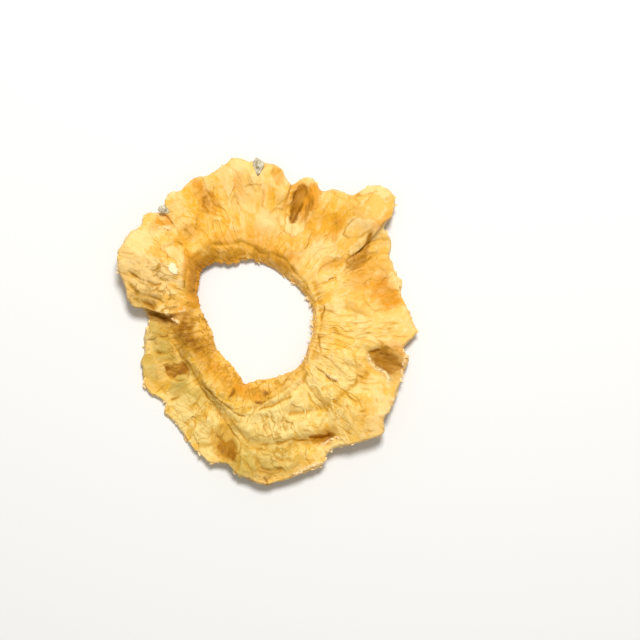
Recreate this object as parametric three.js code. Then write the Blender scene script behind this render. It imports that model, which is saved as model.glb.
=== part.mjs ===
// A dried pineapple ring: one thin slice with a core hole, warped and wrinkled by drying, on its underside.
// Millimetres, +Z up. The plan is drawn in polar form round the core hole: angles in degrees run
// counter-clockwise from +X, and a radius is the distance from the middle of the hole.
import * as THREE from "three";

// Driving dimensions
const flesh = {
  thickness: 4.8, // of the slice beside the core hole
  rimThickness: 3.3, // of the slice at its outer edge
  coreBend: 1.5, // how full the slope down to the core hole is: 1 is straight, 2 is a quarter of an ellipse
  outerRound: 1.4, // how far in from the outer edge the upper face begins to fall
  underRound: 1.2, // the same at both edges of the underside
  seam: -0.45, // height of the edges' outermost line, as a share of half the thickness
  lift: 2.8, // height of the middle layer over the surface that the slice lies on
  pressed: 0.45, // how deep the low spots of the underside are pressed flat on that surface
};
const grid = {
  around: 208, // slices of the faceted surface round the ring
  top: 16, // steps across the upper face
  under: 11, // steps across the underside
  crowding: 0.75, // how strongly those steps crowd towards the two edges, from 0 to 1
};
const underside = { folds: 0.7, marks: 0.35 }; // shares of the upper relief that show below

// The outer edge as [angle, radius]: tips and notches of the fruitlets that the slice was cut through.
const outerEdge = [
  [0, 44.0], [8, 42.2], [17, 41.7], [26, 41.7], [32, 43.8], [36.5, 44.4], [39, 48.2], [43, 52.2],
  [47, 51.6], [50.5, 49.2], [53, 44.8], [60, 43.4], [64, 41.4], [69, 43.4], [73, 42.2], [76, 40.0],
  [79, 41.0], [82, 44.2], [88, 45.0], [93, 44.9], [98, 46.2], [103, 44.6], [109, 43.4], [114, 43.6],
  [120, 42.9], [126.5, 43.2], [129.5, 40.4], [136, 43.4], [140, 42.4], [147, 43.5], [153, 43.5],
  [158, 41.7], [163, 38.6], [169, 35.3], [174.5, 31.6], [180, 31.0], [187, 31.6], [194, 33.0],
  [201, 34.8], [208, 36.3], [216, 35.6], [221, 34.9], [224, 36.6], [231, 36.9], [240, 39.6],
  [250, 41.3], [258, 41.2], [264, 43.4], [271, 45.1], [279, 45.0], [287, 44.1], [295, 43.4],
  [299, 41.2], [304, 42.3], [312, 44.6], [319, 46.6], [323, 44.5], [331, 44.4], [340, 43.8],
  [346, 44.0], [349.5, 42.0], [353, 43.2], [356.5, 44.3],
];

// The edge of the core hole, and how far the upper face slopes down towards it: [angle, radius, slope].
const coreEdge = [
  [0, 15.8, 1.2], [16, 16.1, 1.5], [30, 15.6, 2.0], [45, 15.2, 2.6], [60, 15.3, 3.4], [75, 16.0, 4.2],
  [90, 17.2, 5.2], [104, 17.6, 6.0], [116, 18.6, 6.4], [127, 21.2, 5.0], [136, 22.0, 3.6],
  [145, 20.3, 3.4], [153, 19.1, 3.4], [163, 17.2, 4.2], [176, 14.6, 6.0], [194, 13.2, 6.8],
  [212, 13.6, 7.2], [230, 14.1, 7.4], [245, 14.7, 7.2], [252, 16.0, 6.8], [258, 17.7, 6.2],
  [265, 16.9, 6.8], [277, 16.3, 6.8], [289, 16.5, 5.2], [302, 16.8, 3.8], [312, 17.1, 2.6],
  [321, 16.9, 1.8], [333, 16.0, 1.4], [346, 16.1, 1.2],
];

// Places that rose or sank as it dried: [angle, radius, reach along the ring, reach across it, rise].
const swells = [
  [149, 38, 10, 11, 6.4], // the lobe that stands up on the left
  [186, 31, 9, 7, -1.4], // the edge tucked in below that lobe
  [225, 34, 15, 6, -1.6], // the outer band on the lower left
  [262, 41, 12, 5, 1.2],
  [318, 41, 12, 10, 4.0], // the corner that curls up on the lower right
  [44, 45, 9, 8, 4.4], // the long lobe on the upper right
  [92, 43, 13, 8, 2.2],
  [118, 34, 8, 8, -1.0],
  [350, 27, 12, 10, 1.6],
  [14, 41, 10, 7, -1.8],
  [215, 20, 16, 6, 1.4], // the flesh round the hole on the lower left
];
const saddle = { height: 1.1, angle: 140 }; // two opposite sides stand up by this much
const frill = { cells: 15, height: 1.0, seed: 2 }; // waves that grow towards the outer edge

// Steps where one fruitlet laps over the next, along a line between two angles and two radii.
// The side of the larger angle stands high if the drop is positive, and the other side if it is negative.
const laps = [
  { angles: [33.5, 38.5], radii: [27, 45], drop: 2.0, run: 1.4, fade: 15 },
  { angles: [178, 174.5], radii: [20, 31], drop: -3.4, run: 2.0, fade: 13 },
  { angles: [77, 76.5], radii: [33, 42], drop: 1.3, run: 1.3, fade: 7 },
  { angles: [130.5, 129.5], radii: [33, 41], drop: -1.1, run: 1.3, fade: 6 },
];
const lapGrowth = 0.6; // share of its line over which a step grows from nothing

// Hollows left by the fruitlets' eyes: [angle, radius, length along the radius, width, depth].
const eyes = [
  [71.5, 36.3, 12.5, 6.6, 2.0],
  [111.5, 36.2, 5.5, 4.4, 1.1],
  [134.5, 39.2, 4.5, 7.0, 1.0],
  [211, 27.0, 9.5, 4.4, 1.0],
  [216, 33.2, 4.4, 6.0, 0.9],
  [254.5, 36.2, 9.0, 7.4, 1.3],
  [301, 37.6, 4.0, 7.0, 1.5],
  [343, 38.6, 7.6, 8.2, 1.9],
  [13.5, 36.5, 6.6, 7.4, 0.7],
];

// Lumps dried onto the flesh, as above but with a height: two bits of seed case and a pale knob.
const lumps = [
  [89.5, 42.6, 4.2, 3.4, 0.9],
  [129, 40.6, 3.2, 3.6, 0.8],
  [147, 27.6, 4.4, 3.4, 0.9],
];

// Long creases as [angle, radius] points, with their depth and half width. A negative depth is a rib.
const creases = [
  {
    depth: 1.6,
    half: 1.7,
    path: [
      [180, 25.4], [191, 24.2], [203, 23.6], [218, 23.9], [230, 24.6], [241, 26.8], [250, 29.2],
      [258, 31.4], [266, 34.0], [276, 35.4], [288, 35.9], [301, 37.8],
    ],
  },
  {
    depth: 0.7,
    half: 0.9,
    path: [
      [34, 19.4], [16, 18.2], [0, 17.9], [-18, 17.9], [-36, 18.8], [-54, 21.2], [-74, 23.6], [-94, 24.6],
    ],
  },
  {
    depth: -0.9,
    half: 2.2,
    path: [[184, 20.6], [205, 20.4], [230, 21.5], [256, 24.8], [275, 24.4], [298, 21.8], [322, 19.4]],
  },
  {
    depth: 0.8,
    half: 1.1,
    path: [[60, 20.5], [66, 25], [68, 30], [70, 34]],
  },
  {
    depth: 0.7,
    half: 1.0,
    path: [[21, 34], [17, 31.6], [10, 31.2], [5, 33.2], [4, 36.5], [7, 40]],
  },
  {
    depth: 0.9,
    half: 1.1,
    path: [[334, 34], [322, 31.5], [309, 31], [297, 28.6], [290, 27.4]],
  },
  {
    depth: 0.8,
    half: 1.0,
    path: [[152, 25], [158, 29.5], [152, 34], [156, 39]],
  },
];

// Unevenness on every face: cells round the ring, length of a cell along the radius, height, seed.
const folds = [
  { cells: 26, length: 20, height: 0.5, seed: 3 },
  { cells: 48, length: 9, height: 0.36, seed: 8 },
  { cells: 96, length: 26, height: 0.2, seed: 11 },
];
const ragged = { cells: 96, height: 0.5, seed: 5 }; // of the outer edge, in radius

const degree = Math.PI / 180;
const fullTurn = 360;

const clamp = (x, low, high) => Math.min(Math.max(x, low), high);
const smooth = (x) => {
  const t = clamp(x, 0, 1);
  return t * t * (3 - 2 * t);
};

// The shortest way from angle b to angle a, from -180 to 180.
const turnFrom = (a, b) => ((((a - b + 180) % fullTurn) + fullTurn) % fullTurn) - 180;

// A repeatable random number from 0 to 1 for each crossing of a lattice.
function chance(i, j, seed) {
  const s = Math.sin(i * 127.1 + j * 311.7 + seed * 74.7) * 43758.5453;
  return s - Math.floor(s);
}

// Smooth noise from -1 to 1 over that lattice, which closes on itself after `cells` steps of u.
function noise(u, v, cells, seed) {
  const i = Math.floor(u);
  const j = Math.floor(v);
  const s = smooth(u - i);
  const t = smooth(v - j);
  const at = (di, dj) => chance((((i + di) % cells) + cells) % cells, j + dj, seed);
  const low = at(0, 0) + (at(1, 0) - at(0, 0)) * s;
  const high = at(0, 1) + (at(1, 1) - at(0, 1)) * s;
  return 2 * (low + (high - low) * t) - 1;
}

// A closed curve through the table's [angle, value, ...] rows: the value in that column at an angle.
function around(table, angle, column = 1) {
  const n = table.length;
  const a = ((angle % fullTurn) + fullTurn) % fullTurn;
  let k = n - 1;
  while (k > 0 && table[k][0] > a) k -= 1;
  const row = (m) => {
    const wrap = Math.floor((k + m) / n);
    const r = table[k + m - wrap * n];
    return [r[0] + wrap * fullTurn, r[column]];
  };
  const [p0, p1, p2, p3] = [row(-1), row(0), row(1), row(2)];
  const span = p2[0] - p1[0];
  const t = (a - p1[0]) / span;
  const m1 = ((p2[1] - p0[1]) / (p2[0] - p0[0])) * span;
  const m2 = ((p3[1] - p1[1]) / (p3[0] - p1[0])) * span;
  const t2 = t * t;
  const t3 = t2 * t;
  const values = (2 * t3 - 3 * t2 + 1) * p1[1] + (3 * t2 - 2 * t3) * p2[1];
  return values + (t3 - 2 * t2 + t) * m1 + (t3 - t2) * m2;
}

const coreRadius = (a) => around(coreEdge, a);
const coreSlope = (a) => around(coreEdge, a, 2);
const ringNoise = (a, v, { cells, seed }) => noise((a / fullTurn) * cells, v, cells, seed);
const outerRadius = (a) => around(outerEdge, a) + ragged.height * ringNoise(a, 0, ragged);

// Distances from a polar spot to the point (a, r): along the ring, then along the radius.
const offset = (a, r, spotAngle, spotRadius) => [turnFrom(a, spotAngle) * degree * r, r - spotRadius];

function swellHeight(a, r) {
  let z = saddle.height * Math.cos(2 * degree * (a - saddle.angle));
  for (const [angle, radius, along, across, rise] of swells) {
    const [s, d] = offset(a, r, angle, radius);
    z += rise * Math.exp(-((s / along) ** 2) - (d / across) ** 2);
  }
  return z;
}

// Half of each drop is taken off the low side and half put on the high side. Both fade away from the step.
function lapHeight(a, r) {
  let z = 0;
  for (const { angles, radii, drop, run, fade } of laps) {
    const share = (r - radii[0]) / (radii[1] - radii[0]);
    const middle = angles[0] + (angles[1] - angles[0]) * clamp(share, 0, 1);
    const s = turnFrom(a, middle) * degree * r;
    const side = smooth(0.5 + s / (2 * run)) - 0.5;
    z += drop * side * Math.exp(-((s / fade) ** 2)) * smooth(share / lapGrowth);
  }
  return z;
}

// A flat-bottomed oval mark of height 1 at its middle.
function mark(a, r, [angle, radius, length, width]) {
  const [s, d] = offset(a, r, angle, radius);
  const q = ((2 * s) / width) ** 2 + ((2 * d) / length) ** 2;
  return Math.exp(-q * q);
}

// Each crease is as deep as stated on its line, and its depth falls away to both sides.
function creaseHeight(x, y) {
  let z = 0;
  for (const { path, depth, half } of creases) {
    let near = Infinity;
    for (let k = 0; k + 1 < path.length; k += 1) {
      const [ax, ay] = fromPolar(...path[k]);
      const [bx, by] = fromPolar(...path[k + 1]);
      const [dx, dy] = [bx - ax, by - ay];
      const t = clamp(((x - ax) * dx + (y - ay) * dy) / (dx ** 2 + dy ** 2), 0, 1);
      near = Math.min(near, Math.hypot(x - ax - t * dx, y - ay - t * dy));
    }
    z -= depth * Math.exp(-((near / half) ** 2));
  }
  return z;
}

function markHeight(a, r, x, y) {
  let z = creaseHeight(x, y);
  for (const eye of eyes) z -= eye[4] * mark(a, r, eye);
  for (const lump of lumps) z += lump[4] * mark(a, r, lump);
  return z;
}

function foldHeight(a, r) {
  let z = 0;
  for (const fold of folds) z += fold.height * ringNoise(a, r / fold.length, fold);
  return z;
}

function fromPolar(a, r) {
  return [r * Math.cos(a * degree), r * Math.sin(a * degree)];
}

// A part that would sink below the resting surface is held up, all but the pressed depth.
function laid(middle, half) {
  const sunk = half - middle;
  return sunk > 0 ? half - flesh.pressed * (1 - Math.exp(-sunk / flesh.pressed)) : middle;
}

// The fall of a face to an edge: 0 at the edge, rising to 1 at the stated reach from it.
const rounding = (distance, reach, bend = 2) =>
  (1 - (1 - clamp(distance / reach, 0, 1)) ** bend) ** (1 / bend);

// A point on one face of the slice at angle a and a share of the way from the core hole to the outer edge.
function facePoint(a, share, upper) {
  const core = coreRadius(a);
  const outer = outerRadius(a);
  const r = core + (outer - core) * share;
  const [x, y] = fromPolar(a, r);
  const half = (flesh.thickness + (flesh.rimThickness - flesh.thickness) * share) / 2;
  const wave = frill.height * share ** 2 * ringNoise(a, 0, frill);
  const middle = laid(flesh.lift + swellHeight(a, r) + lapHeight(a, r) + wave, half);
  const seam = middle + flesh.seam * half;
  const folding = foldHeight(a, r);
  const marks = markHeight(a, r, x, y);
  if (upper) {
    const coreFall = rounding(r - core, coreSlope(a), flesh.coreBend);
    const fall = coreFall * rounding(outer - r, flesh.outerRound);
    return [x, y, seam + (middle + half + folding + marks - seam) * fall];
  }
  const fall = rounding(r - core, flesh.underRound) * rounding(outer - r, flesh.underRound);
  const relief = underside.folds * folding + underside.marks * marks;
  return [x, y, Math.max(0, seam + (middle - half + relief - seam) * fall)];
}

// Shares of the width at which a face has its points.
function shares(steps) {
  const list = [];
  for (let k = 0; k <= steps; k += 1) {
    const turn = (2 * Math.PI * k) / steps;
    list.push((turn - grid.crowding * Math.sin(turn)) / (2 * Math.PI));
  }
  return list;
}

function sliceGeometry() {
  const topShares = shares(grid.top);
  const underShares = shares(grid.under).reverse();
  const section = [
    ...topShares.map((share) => [share, true]),
    ...underShares.slice(1, -1).map((share) => [share, false]),
  ];
  const positions = [];
  for (let i = 0; i < grid.around; i += 1) {
    const a = (i / grid.around) * fullTurn;
    for (const [share, upper] of section) positions.push(...facePoint(a, share, upper));
  }
  const index = [];
  const n = section.length;
  for (let i = 0; i < grid.around; i += 1)
    for (let j = 0; j < n; j += 1) {
      const a = i * n + j;
      const b = i * n + ((j + 1) % n);
      const c = ((i + 1) % grid.around) * n + ((j + 1) % n);
      const d = ((i + 1) % grid.around) * n + j;
      index.push(a, b, c, a, c, d);
    }
  const geometry = new THREE.BufferGeometry();
  geometry.setAttribute("position", new THREE.Float32BufferAttribute(positions, 3));
  geometry.setIndex(index);
  return geometry;
}

// The plan's middle is brought over the origin, so that the slice stands centred on +Z.
const geometry = sliceGeometry();
geometry.computeBoundingBox();
const { min, max } = geometry.boundingBox;
geometry.translate(-(min.x + max.x) / 2, -(min.y + max.y) / 2, -min.z);
geometry.computeVertexNormals();

const driedPineapple = new THREE.MeshStandardMaterial({ color: 0xf6cf7c, roughness: 0.6, metalness: 0 });
const ring = new THREE.Mesh(geometry, driedPineapple);
ring.name = "pineapple_ring";

const part = new THREE.Group();
part.add(ring);

export default part;
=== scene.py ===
import math

import bpy
import numpy as np
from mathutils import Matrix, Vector


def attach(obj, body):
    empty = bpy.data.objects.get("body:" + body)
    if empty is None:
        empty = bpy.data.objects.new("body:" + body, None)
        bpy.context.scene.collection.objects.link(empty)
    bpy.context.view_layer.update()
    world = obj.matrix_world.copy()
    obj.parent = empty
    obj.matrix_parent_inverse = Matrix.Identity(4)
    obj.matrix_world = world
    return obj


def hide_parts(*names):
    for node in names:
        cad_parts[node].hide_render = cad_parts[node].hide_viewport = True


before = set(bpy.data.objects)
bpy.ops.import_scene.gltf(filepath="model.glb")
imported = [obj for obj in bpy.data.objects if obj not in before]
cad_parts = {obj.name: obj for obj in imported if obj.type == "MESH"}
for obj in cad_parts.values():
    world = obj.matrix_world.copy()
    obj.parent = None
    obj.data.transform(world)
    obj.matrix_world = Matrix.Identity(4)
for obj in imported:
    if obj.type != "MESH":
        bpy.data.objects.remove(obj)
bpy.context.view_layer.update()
print("frame loaded")

mm = 0.001  # the ring is worked out in millimetres and made in metres

# The plan is polar, round the core hole: angles in degrees run counter-clockwise from +X,
# and a radius is the distance from the middle of the hole.
planMiddle = (2.758, 0.272)  # the middle of the ring's plan, seen from the middle of the hole

ringShape = {
    "thickness": 4.8,  # of the slice beside the core hole
    "rimThickness": 3.3,  # and at its outer edge
    "coreBend": 1.5,  # how full the slope to the core hole is: 1 is straight, 2 a quarter of an ellipse
    "underRound": 1.2,  # how far in from both its edges the underside begins to rise
    "seam": -0.45,  # height of the edges' outermost line, as a share of half the thickness
    "lift": 2.8,  # height of the middle layer over what the ring lies on
    "pressed": 0.45,  # how deep the underside's low spots are pressed flat
    "underFolds": 0.7,  # shares of the upper relief that show below
    "underMarks": 0.35,
    # [angle, radius] of the outer edge: tips and notches of the fruitlets
    "outerEdge": [
        [0, 44.0], [8, 42.2], [17, 41.7], [26, 41.7], [32, 43.8], [36.5, 44.4], [39, 48.2], [43, 52.2],
        [47, 51.6], [50.5, 49.2], [53, 44.8], [60, 43.4], [64, 41.4], [69, 43.4], [73, 42.2],
        [76, 40.0], [79, 41.0], [82, 44.2], [88, 45.0], [93, 44.9], [98, 46.2], [103, 44.6],
        [109, 43.4], [114, 43.6], [120, 42.9], [126.5, 43.2], [129.5, 40.4], [136, 43.4],
        [140, 42.4], [147, 43.5], [153, 43.5], [158, 41.7], [163, 38.6], [169, 35.3],
        [174.5, 31.6], [180, 31.0], [187, 31.6], [194, 33.0], [201, 34.8], [208, 36.3],
        [216, 35.6], [221, 34.9], [224, 36.6], [231, 36.9], [240, 39.6], [250, 41.3], [258, 41.2],
        [264, 43.4], [271, 45.1], [279, 45.0], [287, 44.1], [295, 43.4], [299, 41.2], [304, 42.3],
        [312, 44.6], [319, 46.6], [323, 44.5], [331, 44.4], [340, 43.8], [346, 44.0],
        [349.5, 42.0], [353, 43.2], [356.5, 44.3],
    ],
    # [angle, radius, width of the slope down to it] of the core hole's edge
    "coreEdge": [
        [0, 15.8, 1.2], [16, 16.1, 1.5], [30, 15.6, 2.0], [45, 15.2, 2.6], [60, 15.3, 3.4],
        [75, 16.0, 4.2], [90, 17.2, 5.2], [104, 17.6, 6.0], [116, 18.6, 6.4], [127, 21.2, 5.0],
        [136, 22.0, 3.6], [145, 20.3, 3.4], [153, 19.1, 3.4], [163, 17.2, 4.2], [176, 14.6, 6.0],
        [194, 13.2, 6.8], [212, 13.6, 7.2], [230, 14.1, 7.4], [245, 14.7, 7.2], [252, 16.0, 6.8],
        [258, 17.7, 6.2], [265, 16.9, 6.8], [277, 16.3, 6.8], [289, 16.5, 5.2], [302, 16.8, 3.8],
        [312, 17.1, 2.6], [321, 16.9, 1.8], [333, 16.0, 1.4], [346, 16.1, 1.2],
    ],
    # places that rose or sank in drying: [angle, radius, reach along, reach across, rise]
    "swells": [
        [149, 38, 10, 11, 6.4], [186, 31, 9, 7, -1.4], [225, 34, 15, 6, -1.6], [262, 41, 12, 5, 1.2],
        [318, 41, 12, 10, 4.0], [44, 45, 9, 8, 4.4], [92, 43, 13, 8, 2.2], [118, 34, 8, 8, -1.0],
        [350, 27, 12, 10, 1.6], [14, 41, 10, 7, -1.8], [215, 20, 16, 6, 1.4],
    ],
    "saddle": (1.1, 140),  # rise of two opposite sides, and their angle
    "frill": {"cells": 15, "height": 1.0, "seed": 2},  # waves that grow towards the outer edge
    # steps where one fruitlet laps over the next
    "laps": [
        {"angles": (33.5, 38.5), "radii": (27, 45), "drop": 2.0, "run": 1.4, "fade": 15},
        {"angles": (175, 171.5), "radii": (20, 31), "drop": -3.4, "run": 2.0, "fade": 13},
        {"angles": (77, 76.5), "radii": (33, 42), "drop": 1.3, "run": 1.3, "fade": 7},
        {"angles": (130.5, 129.5), "radii": (33, 41), "drop": -1.1, "run": 1.3, "fade": 6},
    ],
    "lapGrowth": 0.6,  # share of its line over which a step grows from nothing
    # hollows of the eyes: [angle, radius, length along the radius, width, depth]
    "eyes": [
        [71.5, 36.3, 12.5, 6.6, 2.0], [111.5, 36.2, 5.5, 4.4, 1.1], [134.5, 39.2, 4.5, 7.0, 1.0],
        [211, 27.0, 9.5, 4.4, 1.0], [216, 33.2, 4.4, 6.0, 0.9], [254.5, 36.2, 9.0, 7.4, 1.3],
        [301, 37.6, 4.0, 7.0, 1.5], [343, 38.6, 7.6, 8.2, 1.9], [13.5, 36.5, 6.6, 7.4, 0.7],
    ],
    # lumps that stand up: two bits of seed case and a pale knob
    "lumps": [[89.5, 42.6, 4.2, 3.4, 0.9], [129, 40.6, 3.2, 3.6, 0.8], [147, 27.6, 4.4, 3.4, 0.9]],
    # long creases as (depth, half width, [angle, radius] points), and ribs with a negative depth
    "creases": [
        (1.6, 1.7, [[180, 25.4], [191, 24.2], [203, 23.6], [218, 23.9], [230, 24.6], [241, 26.8],
                    [250, 29.2], [258, 31.4], [266, 34.0], [276, 35.4], [288, 35.9], [301, 37.8]]),
        (0.7, 0.9, [[34, 19.4], [16, 18.2], [0, 17.9], [-18, 17.9], [-36, 18.8], [-54, 21.2],
                    [-74, 23.6], [-94, 24.6]]),
        (-0.9, 2.2, [[184, 20.6], [205, 20.4], [230, 21.5], [256, 24.8], [275, 24.4], [298, 21.8],
                     [322, 19.4]]),
        (0.8, 1.1, [[60, 20.5], [66, 25], [68, 30], [70, 34]]),
        (0.35, 1.0, [[21, 34], [17, 31.6], [10, 31.2], [5, 33.2], [4, 36.5], [7, 40]]),
        (0.9, 1.1, [[334, 34], [322, 31.5], [309, 31], [297, 28.6], [290, 27.4]]),
        (0.25, 1.0, [[152, 25], [158, 29.5], [152, 34], [156, 39]]),
    ],
    "folds": [
        {"cells": 26, "length": 20, "height": 0.5, "seed": 3},
        {"cells": 48, "length": 9, "height": 0.36, "seed": 8},
        {"cells": 96, "length": 26, "height": 0.2, "seed": 11},
    ],
    "ragged": {"cells": 96, "height": 0.5, "seed": 5},  # of the outer edge, in radius
}

# How finely the skin is made: quads round the ring and along its cross-section.
skinGrid = {"around": 1200, "core": 24, "middle": 90, "rim": 10, "under": 34, "underEdge": 6}
upperCount = skinGrid["core"] + skinGrid["middle"] + skinGrid["rim"] + 1  # points across the upper face

# Fine relief on top of the shape above, in millimetres.
skinRelief = {
    "rimRound": 0.7,  # how far in from the outer edge the upper face begins to fall
    "lapRun": 0.5,  # share of its run in the plain shape over which a lap's step rises here
    "lean": 0.5,  # how far a lap's high side leans over the low one, as a share of the drop
    "leanReach": 7,  # and how far back from its edge
    "swirls": [(1.2, 6, 21), (0.4, 1.7, 22)],  # that make marks uneven: (reach, size, seed)
    "fibres": {"cells": 210, "length": 7, "height": 0.08, "seed": 41},
    # nets of wrinkles: cells round the ring, length of a cell along the radius, depth of the lines,
    # height of the cells between them, and the places as (angle, reach in degrees, strength)
    "nets": [
        {"cells": 64, "length": 3.2, "depth": 0.14, "pillow": 0.15, "seed": 71, "everywhere": 0.02,
         "places": [(318, 24, 0.45), (262, 14, 0.2), (163, 10, 0.3)]},
        {"cells": 90, "length": 7.5, "depth": 0.1, "pillow": 0.1, "seed": 74, "everywhere": 0.1,
         "places": [(0, 20, 0.5), (55, 20, 0.2), (340, 14, 0.3)]},
        {"cells": 34, "length": 2.1, "depth": 0.14, "pillow": 0.26, "seed": 77, "everywhere": 0.03,
         "places": [(264, 24, 0.7), (222, 30, 0.4)]},
    ],
    "netSteps": (0.12, 0.5),  # where a net's lines end and where its cells are full, as shares of a cell
    "netDark": 0.35,  # how dark the lines of the nets are
    # thin flakes with sharp edges, each at its own height and slope
    "flakes": [
        {"cells": 56, "length": 8, "step": 0.2, "slope": 0.7, "seed": 201},
        {"cells": 96, "length": 3.4, "step": 0.12, "slope": 0.35, "seed": 211},
    ],
    # fibres and roughness of the slope to the core hole
    "tornFibres": {"cells": 110, "length": 3.5, "height": 0.1125, "seed": 63},
    "roughFunnel": 0.125,
    # the slope to the core hole: the share of its reach that is full, its reach as a share of the
    # slope's width, how much weaker it is on one side as (share, angle, reach), how mottled it is,
    # and its strength and reach on the underside
    "funnel": {"full": 0.15, "reach": 1.2, "weaker": (0.65, 0, 60), "mottled": 0.5, "below": (0.6, 3)},
    # short winding creases: size, width, share, seed
    "crumple": {"depth": 0.32, "dark": 1.1, "inFunnel": 0.6,
                "layers": [(7.0, 0.07, 1.0, 301), (3.4, 0.09, 0.7, 311)]},
    # creases that run out from the hole, weaker where the flesh is smooth: cells round the ring,
    # length, width, share, seed
    "rays": {"depth": 0.24, "dark": 0.85, "weaker": 0.6,
             "layers": [(40, 22, 0.08, 1.0, 321), (78, 13, 0.11, 0.9, 331), (130, 8, 0.15, 0.6, 341)]},
    "lumpShare": 0.35,  # of the plain shape's lumps: husks and a knob are laid on them
    "lumps": 0.3,  # height of soft unevenness a few millimetres across
    "grain": 0.1,
    "grainPlaces": [(152, 22, 0.7), (300, 40, 0.4), (240, 30, 0.4)],  # (angle, reach in degrees, strength)
    "unevenLip": [(26, 88, 0.75), (61, 89, 0.4)],  # of the lip round the core hole: (bumps, seed, height)
    "tear": {"height": 0.5, "rim": 1.6, "core": 1.8},  # raggedness of the torn edges, and how far in it goes
    "underFine": 0.5,  # share of the fine relief that shows below
    "paleEdge": 1.1,  # how far in from the outer edge the flesh is pale and dry
    "wobble": (0.25, 2.4),  # how far the drawn lines wander, and over what length
    "patchWobble": (0.55, 2.8),  # the same for the outlines of the colour patches
    "lineEnds": 1.4,  # how far from its ends a drawn line becomes full
    "lineStrength": (0.8, 0.5, 2.6),  # of the drawn lines: average, how much it varies, over what length
    # painted shade in dents and painted highlight on ridges: how strongly dents darken, and for small and
    # broad ones the blur and the depth of the full tone
    "paintedDentShade": {"share": 0.6, "dents": [(5, 0.2), (70, 0.7)]},
    # how strong the tints are, and the clouds that vary it as (share, size, seed)
    "unevenTints": (1.05, [(0.3, 3.2, 101), (0.2, 1.1, 102)]),
}
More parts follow.
